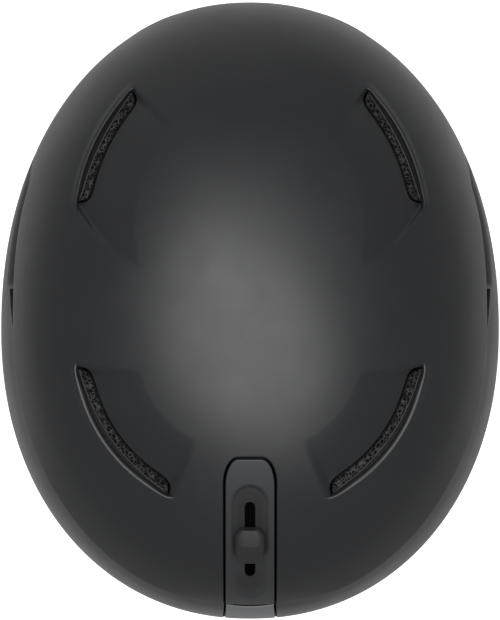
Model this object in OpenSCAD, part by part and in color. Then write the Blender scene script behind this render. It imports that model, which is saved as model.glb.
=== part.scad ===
// Ski helmet: hard upper shell with four mesh vents, rear vent slider, lower shell,
// foam liner, pads, dial fit system and chin strap.
// Frame: +Z up, +Y to the front, +X to the wearer's right; it stands on its ear pads at z = 0.

/* [Outline] */
// Half of the overall width
half_w = 114.5; // [108:0.5:122]
// Length from the widest place to the front
front_len = 150.5; // [142:0.5:160]
// Length from the widest place to the back
rear_len = 133; // [125:0.5:140]
// Y of the widest place
widest_y = -9; // [-14:0.5:-4]
// Height of the widest place
equator_z = 88; // [84:0.5:94]
// Height of the dome above the widest place
dome_h = 97; // [90:0.5:106]
// Fullness of the plan outline, 2 for an ellipse
plan_exp = 2.12; // [2:0.02:2.3]
// Fullness of the dome's profile, 2 for an ellipse
dome_exp = 2.15; // [2:0.01:2.3]
// How far the skirt draws in at 50 mm below the widest place
skirt_tuck = 4; // [0:0.5:8]

/* [Rim] */
// Height of the rim at the brow
rim_front = 75; // [70:0.5:80]
// Height of the rim over the ears
rim_side = 61; // [59:0.5:66]
// Height of the rim at the nape
rim_rear = 49; // [47:0.5:56]
// Height of the seam between upper and lower shell at the back
seam_rear = 122; // [116:0.5:128]

/* [Walls] */
// Wall of the upper and lower shell
shell_t = 2.2; // [1.6:0.1:2.8]
// Gap between pieces that are seated on each other
seat_gap = 0.3; // [0.2:0.05:0.5]
// Thickness of the foam liner at the sides
foam_side = 24; // [20:0.5:26]
// Thickness of the foam liner at the front and back
foam_ends = 30; // [26:0.5:32]
// Thickness of the foam liner at the crown
foam_top = 27; // [22:0.5:30]

/* [Vents] */
// Width of the front vents, from the ridge to the mesh's inner edge
front_vent_w = 6.4; // [5.6:0.2:8]
// Width of the rear vents, from the ridge to the mesh's inner edge
rear_vent_w = 9.9; // [8.5:0.2:11]
// Width of the groove between ridge and mesh in the middle of a front vent
front_groove = 2.7; // [2.2:0.1:3.2]
// Width of that groove in the middle of a rear vent
rear_groove = 4.5; // [3.5:0.1:5]
// Width of the grooves at their ends
groove_end = 2.1; // [1.2:0.1:2.4]
// Depth of the dish beside each vent
dish_depth = 3; // [0:0.2:4]
// Width over which a dish fades out towards the crown
dish_fade = 18; // [12:1:24]
// Depth of the vent mesh below the shell's surface
mesh_depth = 1.2; // [0.6:0.1:1.6]
// Thickness of the vent mesh
mesh_t = 1.4; // [1:0.1:2]

/* [Vent slider] */
// Half width of the rear panel
panel_half_w = 11.2; // [10:0.1:12]
// Thickness of the rear panel
panel_t = 3; // [2.8:0.1:3.4]
// Gap round the rear panel
panel_gap = 1; // [0.5:0.1:1.2]
// Half width of the recess that the knob runs in
recess_half_w = 7.7; // [7.4:0.1:8.4]
// Depth of that recess
recess_depth = 1.4; // [1:0.1:1.6]
// Half width of the slot
slot_half_w = 2.3; // [1.8:0.1:2.8]
// Half width of the knob
knob_half_w = 6.9; // [5.5:0.1:7]
// Height of the knob's crest above the recess
knob_h = 5.2; // [4:0.1:7]

/* [Ear pads and straps] */
// Length of an ear pad
ear_len = 92; // [80:1:98]
// Thickness of an ear pad
ear_t = 19; // [16:0.5:21]
// Width of the webbing
web_w = 18; // [15:0.5:20]
// Thickness of the webbing
web_t = 1.4; // [1:0.1:1.8]

/* [Fit dial] */
// Radius of the dial
dial_r = 14; // [12:0.5:14.5]
// Thickness of the dial
dial_t = 8; // [6:0.5:9]

/* [Hidden] */

// Colours as the object shows them
shell_black = "#2b2c2e";
panel_grey = "#3a3b3d";
mesh_black = "#141415";
foam_black = "#1d1d1f";
fabric_grey = "#3d3f43";
plastic_black = "#222325";
steel = "#a9abad";

// Ridge of a front and a rear vent in plan on the right side: start, middle and end
front_ridge = [[54.5, 101], [68.3, 82.5], [79.5, 49]];
rear_ridge = [[80, -26], [67, -60.5], [37.5, -85.5]];
// Segments round the helmet and from the crown to the rim
around = 64;
down = 13;

function spow(v, e) = sign(v) * pow(abs(v), e);
function unit(v) = v / norm(v);
function mix(a, b, t) = a + (b - a) * t;
function smooth(lo, hi, v) = let (t = max(0, min(1, (v - lo) / (hi - lo)))) t * t * (3 - 2 * t);
function flip_x(p) = [-p.x, p.y, p.z];
function reverse(list) = [for (i = [len(list) - 1 : -1 : 0]) list[i]];

// Circle through three points: [centre, radius]
function circle3(a, b, c) =
    let (d = 2 * (a.x * (b.y - c.y) + b.x * (c.y - a.y) + c.x * (a.y - b.y)),
        ux = ((a * a) * (b.y - c.y) + (b * b) * (c.y - a.y) + (c * c) * (a.y - b.y)) / d,
        uy = ((a * a) * (c.x - b.x) + (b * b) * (a.x - c.x) + (c * c) * (b.x - a.x)) / d)
    [[ux, uy], norm(a - [ux, uy])];
front_circle = circle3(front_ridge[0], front_ridge[1], front_ridge[2]);
rear_circle = circle3(rear_ridge[0], rear_ridge[1], rear_ridge[2]);
function bearing(circle, p) = atan2(p.y - circle[0].y, p.x - circle[0].x);
front_span = [bearing(front_circle, front_ridge[0]), bearing(front_circle, front_ridge[2])];
rear_span = [bearing(rear_circle, rear_ridge[0]), bearing(rear_circle, rear_ridge[2])];

// A vent: its ridge's circle, the bearings of its ends, its width and its groove's width
front_vent = [front_circle, front_span, front_vent_w, front_groove];
rear_vent = [rear_circle, rear_span, rear_vent_w, rear_groove];

// Depth of the dish beside one vent: full next to the ridge, fading towards the crown and at the ends.
// The ease widens it on all sides, for what lies under the shell.
dish_wall = 2;
dish_end_room = 0.12;
function one_dish(vent, x, y, ease) =
    let (circle = vent[0],
        span = vent[1],
        p = [abs(x), y],
        inward = circle[1] - norm(p - circle[0]),
        t = (bearing(circle, p) - span[0]) / (span[1] - span[0]),
        room = dish_end_room + ease / circle[1],
        full = 2 * dish_end_room - room,
        wide = vent[2] + ease)
    dish_depth * smooth(-room, full, t) * smooth(-room, full, 1 - t)
        * smooth(-ease, dish_wall - ease, inward) * (1 - smooth(wide, wide + dish_fade, inward));
function dish(x, y, ease) = one_dish(front_vent, x, y, ease) + one_dish(rear_vent, x, y, ease);

// The helmet's surface: a superellipse in plan, carried up a superellipse profile to the crown.
// w is the angle above the widest ring, or below it the distance down as a negative number.
function semi_y(s) = s >= 0 ? front_len : rear_len;
function ring_r(w) = w >= 0 ? pow(cos(w), 2 / dome_exp) : 1 - skirt_tuck / half_w * pow(w / 50, 2);
function ring_z(w) = w >= 0 ? equator_z + dome_h * pow(sin(w), 2 / dome_exp) : equator_z + w;
function base_pt(a, w) = [half_w * ring_r(w) * spow(cos(a), 2 / plan_exp),
    widest_y + semi_y(sin(a)) * ring_r(w) * spow(sin(a), 2 / plan_exp), ring_z(w)];
function plan_slope(v, size) = sign(v) * pow(abs(v) / size, plan_exp - 1) / size;
function out_dir(p) = unit([plan_slope(p.x, half_w), plan_slope(p.y - widest_y, semi_y(p.y - widest_y)),
    p.z > equator_z ? pow((p.z - equator_z) / dome_h, dome_exp - 1) / dome_h : 0]);
function sunk(p, d, ease = 0) = p - out_dir(p) * (d + (p.z > equator_z ? dish(p.x, p.y, ease) : 0));
// Point at azimuth a and angle w, and point above the plan place x, y, both d below the surface
function surf(a, w, d) = sunk(base_pt(a, w), d);
function plan_r(x, y) = pow(pow(abs(x) / half_w, plan_exp)
    + pow(abs(y - widest_y) / semi_y(y - widest_y), plan_exp), 1 / plan_exp);
function top_z(x, y) = equator_z + dome_h * pow(max(0, 1 - pow(plan_r(x, y), dome_exp)), 1 / dome_exp);
function over(x, y, d) = sunk([x, y, top_z(x, y)], d);
// Angle w of a height
function w_of(z) = z >= equator_z ? asin(pow((z - equator_z) / dome_h, dome_exp / 2)) : z - equator_z;

// Rim and seam heights round the helmet
function rim_z(a) = rim_side + (rim_front - rim_side) * smooth(0, 0.95, sin(a))
    + (rim_rear - rim_side) * smooth(0, 0.95, -sin(a));
seam_front_start = 0.3;
seam_front_end = 0.72;
function seam_z(a) = mix(seam_rear, rim_z(a), smooth(seam_front_start, seam_front_end, sin(a)));

// Closed solid through rings of points. A loop joins its ends, two apex points close a dome or pad,
// and otherwise each end is closed by a strip across the ring.
function volume6(p, f) = [for (t = f) cross(p[t[0]], p[t[1]]) * p[t[2]]] * [for (t = f) 1];
function wall_faces(n, m, loop) = [for (k = [0 : n - (loop ? 1 : 2)]) for (i = [0 : m - 1])
    let (a = k * m + i, b = k * m + (i + 1) % m, c = (k + 1) % n * m + (i + 1) % m, d = (k + 1) % n * m + i)
    each [[a, b, c], [a, c, d]]];
function strip_faces(s, m, back) = [for (i = [0 : m / 2 - 2])
    let (a = s + i, b = s + i + 1, c = s + m - 2 - i, d = s + m - 1 - i)
    each (back ? [[a, c, b], [a, d, c]] : [[a, b, c], [a, c, d]])];
module skin(rings, loop = false, apex = []) {
    n = len(rings);
    m = len(rings[0]);
    points = concat([for (r = rings) each r], apex);
    last = (n - 1) * m;
    caps = loop ? [] : len(apex) == 2
        ? [for (i = [0 : m - 1]) each [[n * m, (i + 1) % m, i], [n * m + 1, last + i, last + (i + 1) % m]]]
        : concat(strip_faces(0, m, true), strip_faces(last, m, false));
    faces = concat(wall_faces(n, m, loop), caps);
    polyhedron(points, volume6(points, faces) < 0 ? faces : [for (f = faces) reverse(f)]);
}
// Plate from two faces, each given as columns of points
module plate(outer, inner) {
    skin([for (i = [0 : len(outer) - 1]) concat(outer[i], reverse(inner[i]))]);
}
// Patch of the surface between two depths: columns at the azimuths az, from top(a) down to bottom(a)
module patch(az, top, bottom, d_out, d_in, n) {
    function column(a, d) = [for (j = [0 : n]) surf(a, mix(w_of(top(a)), w_of(bottom(a)), j / n), d)];
    plate([for (a = az) column(a, d_out)], [for (a = az) column(a, d_in)]);
}
// Dome down to the edge(a), between two faces that are functions of the azimuth and angle
module dome(edge, outer, inner) {
    function ring(j, face) = [for (i = [0 : around - 1])
        let (a = 360 * i / around) face(a, mix(90, w_of(edge(a)), j / down))];
    skin(concat([for (j = [1 : down]) ring(j, outer)], [for (j = [down : -1 : 1]) ring(j, inner)]),
        apex = [outer(90, 90), inner(90, 90)]);
}
// Left twin of a piece that is drawn on the right
module left() {
    mirror([1, 0, 0]) children();
}

// Vents: a slot behind the groove along each ridge, narrowing to rounded ends
vent_steps = 12;
vent_end_open = 0.04;
mesh_gap = 0.6;
mesh_end = 0.02;
function vent_edge(vent, t, side, d) =
    let (a = mix(vent[1][0], vent[1][1], t),
        full = vent[2] - vent[3],
        open = full * sqrt(max(vent_end_open, 1 - pow(abs(2 * t - 1), 3))),
        groove = mix(groove_end, vent[3], 1 - pow(2 * t - 1, 2)),
        r = vent[0][1] - groove - (side == 0 ? full - open : full + open) / 2)
    over(vent[0][0].x + r * cos(a), vent[0][0].y + r * sin(a), d);
function vent_section(vent, t, top, bottom) = [vent_edge(vent, t, 0, top), vent_edge(vent, t, 1, top),
    vent_edge(vent, t, 1, bottom), vent_edge(vent, t, 0, bottom)];
// Air channel through the wall, as short wedges from one section to the next
module vent_cut(vent, top, bottom) {
    for (k = [0 : vent_steps - 1])
        hull()
            skin([for (e = [0, 1]) vent_section(vent, (k + e) / vent_steps, top, bottom)]);
}
module both_sides() {
    children();
    left() children();
}
cut_above = -6;
cut_below = 4;
module vent_cuts(bottom) {
    both_sides() {
        vent_cut(front_vent, cut_above, bottom);
        vent_cut(rear_vent, cut_above, bottom);
    }
}
// Mesh in a vent: a plate that fills the slot but for the seat gap
module vent_mesh(vent) {
    inset = mesh_gap / (vent[2] - vent[3]);
    function section(s) = [mix(s[0], s[1], inset), mix(s[1], s[0], inset),
        mix(s[2], s[3], inset), mix(s[3], s[2], inset)];
    color(mesh_black)
        skin([for (k = [0 : vent_steps])
            let (t = mix(mesh_end, 1 - mesh_end, k / vent_steps))
            section(vent_section(vent, t, mesh_depth, mesh_depth + mesh_t))]);
}

// Rear panel: flat across the top, with large round corners, down to the seam
panel_top_y = -68;
panel_flat = 5.2;
panel_corner = 12;
function panel_edge(x, grow) = let (t = max(0, abs(x) - panel_flat) / (panel_half_w + grow - panel_flat))
    panel_top_y + grow - panel_corner * (1 - sqrt(max(0, 1 - t * t)));
// Plan y at which the surface over x reaches a height
function y_at(x, z) = let (r = ring_r(w_of(z)))
    widest_y - rear_len * pow(pow(r, plan_exp) - pow(abs(x) / half_w, plan_exp), 1 / plan_exp);
panel_cols = 12;
panel_rows = 12;
module panel_block(grow, top, bottom, end_z) {
    xs = [for (i = [0 : panel_cols]) (panel_half_w + grow) * sin(mix(-90, 90, i / panel_cols))];
    function column(x, d) = [for (j = [0 : panel_rows])
        over(x, mix(panel_edge(x, grow), y_at(x, end_z), j / panel_rows), d)];
    plate([for (x = xs) column(x, top)], [for (x = xs) column(x, bottom)]);
}
module upper_shell() {
    edge = function(a) seam_z(a) + (seam_z(a) > rim_z(a) + 0.5 ? seat_gap : 0);
    color(shell_black)
        difference() {
            dome(edge, function(a, w) surf(a, w, 0), function(a, w) surf(a, w, shell_t));
            vent_cuts(shell_t + cut_below);
            hull() panel_cut();
        }
}
panel_cut_z = 100;
module panel_cut() {
    xs = [for (i = [0 : panel_cols]) (panel_half_w + panel_gap) * sin(mix(-90, 90, i / panel_cols))];
    translate([0, 0, panel_cut_z])
        linear_extrude(height = dome_h)
            polygon(concat([for (x = xs) [x, panel_edge(x, panel_gap)]],
                [[panel_half_w + panel_gap, -2 * rear_len], [-panel_half_w - panel_gap, -2 * rear_len]]));
}

// Lower shell: a band from the seam to the rim round the sides and back, scooped under the seam at
// the temples, with a side vent notch and an opening for the goggle clip
band_end = 43;
clip_half_deg = 5.45;
clip_z = 77;
notch_front_deg = 9;
notch_rear_deg = 0;
notch_depth = 5;
step_deg = 0.05;
function band_top(a) = seam_z(a) - seat_gap;
// Azimuths measured from the right side towards the back
function notch_at(b) = b < -notch_rear_deg && b > -notch_front_deg ? notch_depth : 0;
scoop_depth = 2.6;
scoop_in = [-band_end, -20];
scoop_out = [-8, 6];
scoop_z = [78, 112];
function scoop(b, z) = scoop_depth * smooth(scoop_in[0], scoop_in[1], b)
    * (1 - smooth(scoop_out[0], scoop_out[1], b)) * smooth(scoop_z[0], scoop_z[1], z);
temple_cols = 8;
back_cols = 14;
function band_side_cols() = concat(
    [for (i = [0 : temple_cols]) mix(-band_end, -notch_front_deg - step_deg, i / temple_cols)],
    [-notch_front_deg + step_deg, -notch_front_deg / 2, -notch_rear_deg - step_deg],
    [for (i = [0 : back_cols])
        mix(-notch_rear_deg + step_deg, 90 - clip_half_deg - step_deg, i / back_cols)]);
band_rows = 6;
module lower_shell() {
    bs = concat(band_side_cols(), [90 - clip_half_deg + step_deg, 90]);
    function top_of(b) = b > 90 - clip_half_deg ? clip_z : band_top(-b) - notch_at(b);
    function column(b, d) = [for (j = [0 : band_rows])
        let (z = mix(top_of(b), rim_z(-b), j / band_rows), w = w_of(z)) surf(-b, w, d + scoop(b, z))];
    cols = [for (b = bs) concat(column(b, 0), reverse(column(b, shell_t)))];
    color(shell_black)
        skin(concat(cols, [for (i = [len(cols) - 2 : -1 : 0]) [for (p = cols[i]) flip_x(p)]]));
}

// Vent slider: it runs on an arc about a crosswise axis, struck through three places of the panel
function profile(y) = [y, top_z(0, y)];
slider_arc = circle3(profile(-86), profile(-106), profile(-124));
arc_r = slider_arc[1];
function arc_deg(y) = atan2(top_z(0, y) - slider_arc[0].y, slider_arc[0].x - y);
knob_y = -107.7;
knob_deg = arc_deg(knob_y);
slot_ends = [-88, -122.4];
recess_ends = [-80.5, -130.6];
module on_arc(deg) {
    translate([0, slider_arc[0].x, slider_arc[0].y])
        rotate([90 - deg, 0, 0])
            children();
}
// Drum about the slider's axis
module arc_drum(r, half) {
    translate([0, slider_arc[0].x, slider_arc[0].y])
        rotate([0, 90, 0])
            cylinder(r = r, h = 2 * half, center = true, $fn = 180);
}
// Upright stadium in plan between two places along Y
module stadium(half, ends, z) {
    translate([0, 0, z]) {
        for (y = [ends[0] - half, ends[1] + half])
            translate([0, y, 0])
                cylinder(r = half, h = dome_h, $fn = 48);
        translate([-half, ends[1] + half, 0])
            cube([2 * half, ends[0] - ends[1] - 2 * half, dome_h]);
    }
}
floor_r = arc_r - recess_depth;
module rear_panel() {
    color(panel_grey)
        difference() {
            panel_block(0, 0, panel_t, seam_rear + seat_gap);
            difference() {
                stadium(recess_half_w, recess_ends, panel_cut_z);
                arc_drum(floor_r, 3 * recess_half_w);
            }
            stadium(slot_half_w, slot_ends, panel_cut_z);
        }
}
// Knob: a thumb wedge, low at the front and crested at the back, with a stem through the slot
knob_len = 17.4;
knob_crest = 9;
knob_toe_h = 2.8;
knob_sink = 1.5;
knob_chamfer = 1;
run_gap = 0.2;
stem_len = 9;
stem_half_w = 1.9;
stem_join = 0.2;
yoke_gap = 1.2;
yoke_r = arc_r - panel_t - yoke_gap;
yoke_t = 2;
touch_gap = 0.02;
module knob_side(r) {
    heel = -knob_len / 2;
    toe = knob_len / 2;
    polygon([[heel, r - knob_sink], [toe, r - knob_sink], [toe, r + knob_toe_h],
        [heel + knob_crest, r + knob_h], [heel + knob_chamfer, r + knob_h],
        [heel, r + knob_h - knob_chamfer]]);
}
module vent_knob() {
    r0 = floor_r + run_gap;
    color(shell_black)
        difference() {
            on_arc(knob_deg)
                rotate([90, 0, 90])
                    translate([0, 0, -knob_half_w])
                        linear_extrude(height = 2 * knob_half_w)
                            knob_side(r0);
            arc_drum(r0, 2 * knob_half_w);
        }
    color(shell_black)
        on_arc(knob_deg)
            translate([-stem_half_w, -stem_len / 2, yoke_r + touch_gap])
                difference() {
                    cube([2 * stem_half_w, stem_len, r0 - yoke_r - touch_gap + stem_join]);
                    translate([stem_half_w, stem_len / 2, -screw_over])
                        cylinder(d = screw_d, h = screw_hole + screw_over, $fn = 32);
                }
}
// Screw that holds the knob to the shutter yoke from below
screw_d = 1.8;
screw_play = 0.1;
screw_head_d = 3.6;
screw_head_h = 1.2;
screw_reach = 2.4;
screw_hole = 4;
screw_over = 1;
module slider_screw() {
    color(steel)
        on_arc(knob_deg) {
            translate([0, 0, yoke_r - yoke_t - screw_head_h - screw_play / 2])
                cylinder(d = screw_head_d, h = screw_head_h, $fn = 32);
            translate([0, 0, yoke_r - yoke_t - screw_play])
                cylinder(d = screw_d - screw_play, h = yoke_t + screw_reach + screw_play, $fn = 32);
        }
}
// Shutter: a horseshoe blade under the rear vents with a tongue under the panel
blade_depth = 5.6;
blade_t = 1.3;
blade_half_w = 6.5;
blade_steps = 9;
blade_start = 0.3;
blade_line = 5.7;
blade_back_y = -92;
function blade_pt(t, side, d) =
    let (first = mix(rear_span[0], rear_span[1], blade_start),
        a = mix(first, bearing(rear_circle, [0, blade_back_y]), t),
        r = rear_circle[1] - blade_line + side * blade_half_w)
    over(max(0, rear_circle[0].x + r * cos(a)), rear_circle[0].y + r * sin(a), d);
function blade_section(t) = [blade_pt(t, 1, blade_depth), blade_pt(t, -1, blade_depth),
    blade_pt(t, -1, blade_depth + blade_t), blade_pt(t, 1, blade_depth + blade_t)];
tongue_half_w = 5.5;
tongue_tail = 8;
tongue_len = 30;
module vent_shutter() {
    halves = [for (k = [0 : blade_steps - 1]) blade_section(k / blade_steps)];
    color(plastic_black) {
        skin(concat(halves, [blade_section(1)], [for (s = reverse(halves)) [for (p = s) flip_x(p)]]));
        difference() {
            intersection() {
                arc_drum(yoke_r, tongue_half_w);
                on_arc(knob_deg)
                    translate([-tongue_half_w, -tongue_tail, yoke_r - 3 * yoke_t])
                        cube([2 * tongue_half_w, tongue_tail + tongue_len, 3 * yoke_t]);
            }
            arc_drum(yoke_r - yoke_t, 2 * tongue_half_w);
            on_arc(knob_deg)
                translate([0, 0, yoke_r - yoke_t - screw_over])
                    cylinder(d = screw_d, h = yoke_t + 2 * screw_over, $fn = 32);
        }
    }
}

// Goggle strap clip at the back of the lower shell: it swings out at its foot about a crosswise pin
pin_r = 1;
pin_gap = 0.05;
knuckle_r = 2.2;
knuckle_half = 7.6;
ear_w = 2.6;
clip_gap_deg = 0.35;
hinge_z = seam_rear - knuckle_r - 2 * seat_gap;
hinge_y = surf(270, w_of(hinge_z), knuckle_r).y;
clip_cols = 8;
clip_rows = 6;
clip_foot = 0.8;
ear_gap = 0.1;
ear_room = 1;
module clip_axis(half, r) {
    translate([0, hinge_y, hinge_z])
        rotate([0, 90, 0])
            cylinder(r = r, h = 2 * half, center = true, $fn = 40);
}
module goggle_clip() {
    reach = clip_half_deg - clip_gap_deg;
    color(panel_grey)
        difference() {
            union() {
                patch([for (i = [0 : clip_cols]) 270 + mix(-reach, reach, i / clip_cols)],
                    function(a) hinge_z, function(a) clip_z + clip_foot, 0, shell_t, clip_rows);
                clip_axis(knuckle_half, knuckle_r);
            }
            for (s = [-1, 1])
                translate([s * (knuckle_half + ear_gap + ear_w), hinge_y, hinge_z])
                    cube([2 * ear_w, 4 * knuckle_r, 2 * knuckle_r + ear_room], center = true);
            clip_axis(2 * knuckle_half, pin_r + pin_gap);
        }
}
module goggle_clip_pin() {
    color(steel)
        clip_axis(knuckle_half + ear_w, pin_r);
}
base_back = 8;
base_h = 24;
base_t = 2;
base_ear_front = 1.7;
base_ear_h = 3.8;
module goggle_clip_base() {
    ear_reach = base_ear_front + base_back - base_t / 2;
    color(plastic_black)
        difference() {
            union() {
                translate([-knuckle_half - ear_w, hinge_y + base_back - base_t, hinge_z - base_h])
                    cube([2 * (knuckle_half + ear_w), base_t, base_h + base_t]);
                for (s = [-1, 1])
                    translate([s * (knuckle_half + ear_w / 2 + seat_gap / 2),
                        hinge_y - base_ear_front + ear_reach / 2, hinge_z])
                        cube([ear_w - seat_gap, ear_reach, base_ear_h], center = true);
            }
            clip_axis(knuckle_half + 2 * ear_w, pin_r + pin_gap);
        }
}

// Soft edge trim: an angle section round the rim, outside the shell and under the foam
trim_t = 0.7;
trim_up = 5;
trim_under = 4.5;
trim_low = 1.8;
// Corners of its section: depth below the shell's surface, and height above the rim
trim_corners = [[-seat_gap - trim_t, trim_up], [-seat_gap, trim_up], [-seat_gap, -seat_gap],
    [trim_under, -seat_gap], [trim_under, -seat_gap - trim_low], [-seat_gap - trim_t, -seat_gap - trim_low]];
function trim_section(a) = [for (q = trim_corners) surf(a, w_of(rim_z(a) + q[1]), q[0])];
trim_cols = 60;
module edge_trim() {
    color(mesh_black)
        skin([for (i = [0 : trim_cols - 1]) trim_section(360 * i / trim_cols)], loop = true);
}

// Foam liner: thicker at the ends, with air channels, the shutter's chamber and seats for its fittings
foam_gap = 0.5;
pad_gap = 0.6;
foam_out = shell_t + foam_gap;
function foam_d(p) = let (n = out_dir(p)) foam_out + norm([n.x * foam_side, n.y * foam_ends, n.z * foam_top]);
under_dish = 9;
under_scoop = 1;
scoop_over = [4, 24];
// The foam's outer face keeps clear of the dishes and of the scooped temples of the lower shell
function foam_face(a, w) = let (p = base_pt(a, w),
        fade = 1 - smooth(seam_rear + scoop_over[0], seam_rear + scoop_over[1], p.z),
        low = scoop(-asin(sin(a)), p.z) * fade)
    sunk(p, foam_out + low * (1 + under_scoop / scoop_depth), under_dish);
function foam_in(a, w, d) = let (p = base_pt(a, w)) p - out_dir(p) * (foam_d(p) + d);
chamber_depth = 13;
panel_room = panel_half_w + panel_gap + seat_gap;
chamber_room = 16;
chamber_ahead = 3;
chamber_steps = 6;
chamber_top = 8;
module shutter_chamber() {
    function edge(t, side, d) = let (p = blade_pt(t, 0, 0), q = blade_pt(t, 1, 0),
            g = p + (q - p) * side * (blade_half_w + chamber_room) / blade_half_w) over(max(0, g.x), g.y, d);
    function section(t) = [edge(t, 1, cut_above), edge(t, -1, cut_above),
        edge(t, -1, chamber_depth), edge(t, 1, chamber_depth)];
    both_sides()
        for (k = [-chamber_ahead : blade_steps - 1])
            hull()
                skin([for (e = [0, 1]) section((k + e) / blade_steps)]);
    low = y_at(0, seam_rear);
    function trough(y) = [over(-panel_room, y, cut_above), over(panel_room, y, cut_above),
        over(panel_room, y, chamber_depth), over(-panel_room, y, chamber_depth)];
    for (k = [0 : chamber_steps - 1])
        hull()
            skin([for (e = [0, 1]) trough(mix(low, panel_top_y + chamber_top, (k + e) / chamber_steps))]);
}
clip_room = 13;
clip_room_low = 4;
clip_room_high = 8;
clip_room_y = hinge_y + base_back + 8 * seat_gap;
tab_z = 13;
tab_gap = 0.4;
module foam_liner() {
    color(foam_black)
        difference() {
            dome(function(a) rim_z(a), function(a, w) foam_face(a, w), function(a, w) foam_in(a, w, 0));
            vent_cuts(2 * foam_ends);
            shutter_chamber();
            translate([-clip_room, clip_room_y - rear_len, clip_z - clip_room_low])
                cube([2 * clip_room, rear_len, seam_rear - clip_z + clip_room_low + clip_room_high]);
            both_sides()
                ear_tabs(tab_gap);
            both_sides()
                rivet_shanks(rivet_r + seat_gap);
        }
}

// Cushion on the foam between two azimuths and two angles, crowned, with sewn channels across it
pad_edge_t = 1.2;
sewn_depth = 0.3;
function crown_of(u) = sqrt(max(0, 1 - pow(abs(2 * u - 1), 5)));
module cushion(a0, a1, w0, w1, t, cols, rows, channels) {
    function thick(u, v) = pad_edge_t + (t - pad_edge_t) * crown_of(u) * crown_of(v)
        * (1 - sewn_depth * pow(abs(cos(180 * channels * u)), 12));
    function column(i, full) = [for (j = [0 : rows])
        let (u = i / cols, v = j / rows)
        foam_in(mix(a0, a1, u), mix(w1, w0, v), pad_gap + (full ? thick(u, v) : 0))];
    color(fabric_grey)
        plate([for (i = [0 : cols]) column(i, false)], [for (i = [0 : cols]) column(i, true)]);
}
pad_t = 8;
module brow_pad() {
    cushion(38, 142, -8, 16, pad_t, 24, 6, 4);
}
module side_pad_right() {
    cushion(-32, 26, 5, 28, pad_t, 16, 6, 2);
}
module side_pad_left() {
    left() side_pad_right();
}
module rear_pad() {
    cushion(246, 294, -26, 12, pad_t, 16, 6, 2);
}
crown_pad_w = 52;
module crown_pad() {
    rows = 5;
    cols = 28;
    function ring(v, full) = [for (i = [0 : cols - 1])
        let (t = pad_edge_t + (pad_t - pad_edge_t) * crown_of(0.5 + v / 2))
        foam_in(360 * i / cols, mix(90, crown_pad_w, v), pad_gap + (full ? t : 0))];
    back = [for (j = [1 : rows]) ring(j / rows, false)];
    front = [for (j = [rows : -1 : 1]) ring(j / rows, true)];
    color(fabric_grey)
        skin(concat(back, front), apex = [foam_in(90, 90, pad_gap), foam_in(90, 90, pad_gap + pad_t)]);
}

// Ear pads: rounded cushions with a pocket for the ear, on moulded plates with tabs into the foam
ear_inset = 32.5;
ear_x = half_w - ear_inset;
ear_y = -8;
ear_top = rim_side - 2 * seat_gap - trim_low - seat_gap;
ear_pts = 32;
ear_flat = 0.5;
ear_square = 0.72;
ear_pocket = 6;
// Outline at a share s of the full size, its foot cut flat where it stands
function ear_outline(s) = [for (i = [0 : ear_pts - 1])
    let (a = 360 * i / ear_pts,
        rise = (ear_top + ear_flat) / 2 * spow(sin(a), ear_square) - ear_flat / 2)
    [ear_y + ear_len / 2 * s * spow(cos(a), ear_square), max(0, ear_top / 2 + s * rise)]];
// Rings from the pocket over the rolled rim to the back: distance across, and share of the outline
ear_profile = [[ear_pocket, 0.3], [ear_pocket - 1.5, 0.44], [1, 0.56], [0, 0.68], [0.8, 0.84], [3, 0.95],
    [7, 1], [ear_t - 5, 1], [ear_t - 1, 0.95], [ear_t, 0.88]];
module ear_pad_right() {
    color(fabric_grey)
        skin([for (r = ear_profile) [for (q = ear_outline(r[1])) [ear_x + r[0], q[0], q[1]]]],
            apex = [for (x = [ear_pocket, ear_t]) [ear_x + x, ear_y, ear_top / 2]]);
}
module ear_pad_left() {
    left() ear_pad_right();
}
plate_t = 2;
plate_size = 0.8;
tab_w = 16;
tab_half_gap = 20;
module ear_tabs(room) {
    for (s = [-1, 1])
        translate([ear_x + ear_t + seat_gap - room, ear_y + s * tab_half_gap - tab_w / 2 - room, ear_top / 2])
            cube([plate_t + 2 * room, tab_w + 2 * room, rim_side - ear_top / 2 + tab_z + room]);
}
module ear_plate_right() {
    color(plastic_black) {
        translate([ear_x + ear_t + seat_gap, 0, 0])
            rotate([90, 0, 90])
                linear_extrude(height = plate_t)
                    polygon(ear_outline(plate_size));
        ear_tabs(0);
    }
}
module ear_plate_left() {
    left() ear_plate_right();
}

// Fit system: two arms from the foam to the nape, and a dial whose pinion draws both band ends in
fit_z = 30;
band_t = 1.3;
pitch_r = 5;
teeth = 10;
tooth_h = 0.9;
rack_clear = 0.4;
pitch = 2 * PI * pitch_r / teeth;
bar_h = 4.7;
band_overlap = 9;
band_reach = 36;
rack_line = pitch_r + tooth_h + rack_clear;
housing_half = [22, 13];
housing_wall = 2.5;
arm_h = 12;
arm_t = 1.2;
arm_gap = 0.8;
arm_z = 68;
arm_span = [5, -73];
arm_drop = [-28, -66];
arm_steps = 18;
// Places along an arm by azimuth: on the foam's inner face at the side, then down to the nape
function arm_at(a) = foam_in(a, w_of(mix(arm_z, fit_z, smooth(-arm_drop[0], -arm_drop[1], -a))),
    arm_gap + arm_t / 2);
function arm_across(a) = let (d = arm_at(a + 1) - arm_at(a - 1)) unit([d.y, -d.x, 0]);
band_y = arm_at(arm_span[1]).y - arm_t - seat_gap;
module fit_arm_right() {
    up = [0, 0, arm_h / 2];
    color(plastic_black)
        skin([for (k = [0 : arm_steps])
            let (a = mix(arm_span[0], arm_span[1], k / arm_steps),
                p = arm_at(a),
                n = arm_across(a) * arm_t / 2)
            [p + n + up, p - n + up, p - n - up, p + n - up]]);
}
module fit_arm_left() {
    left() fit_arm_right();
}
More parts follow.
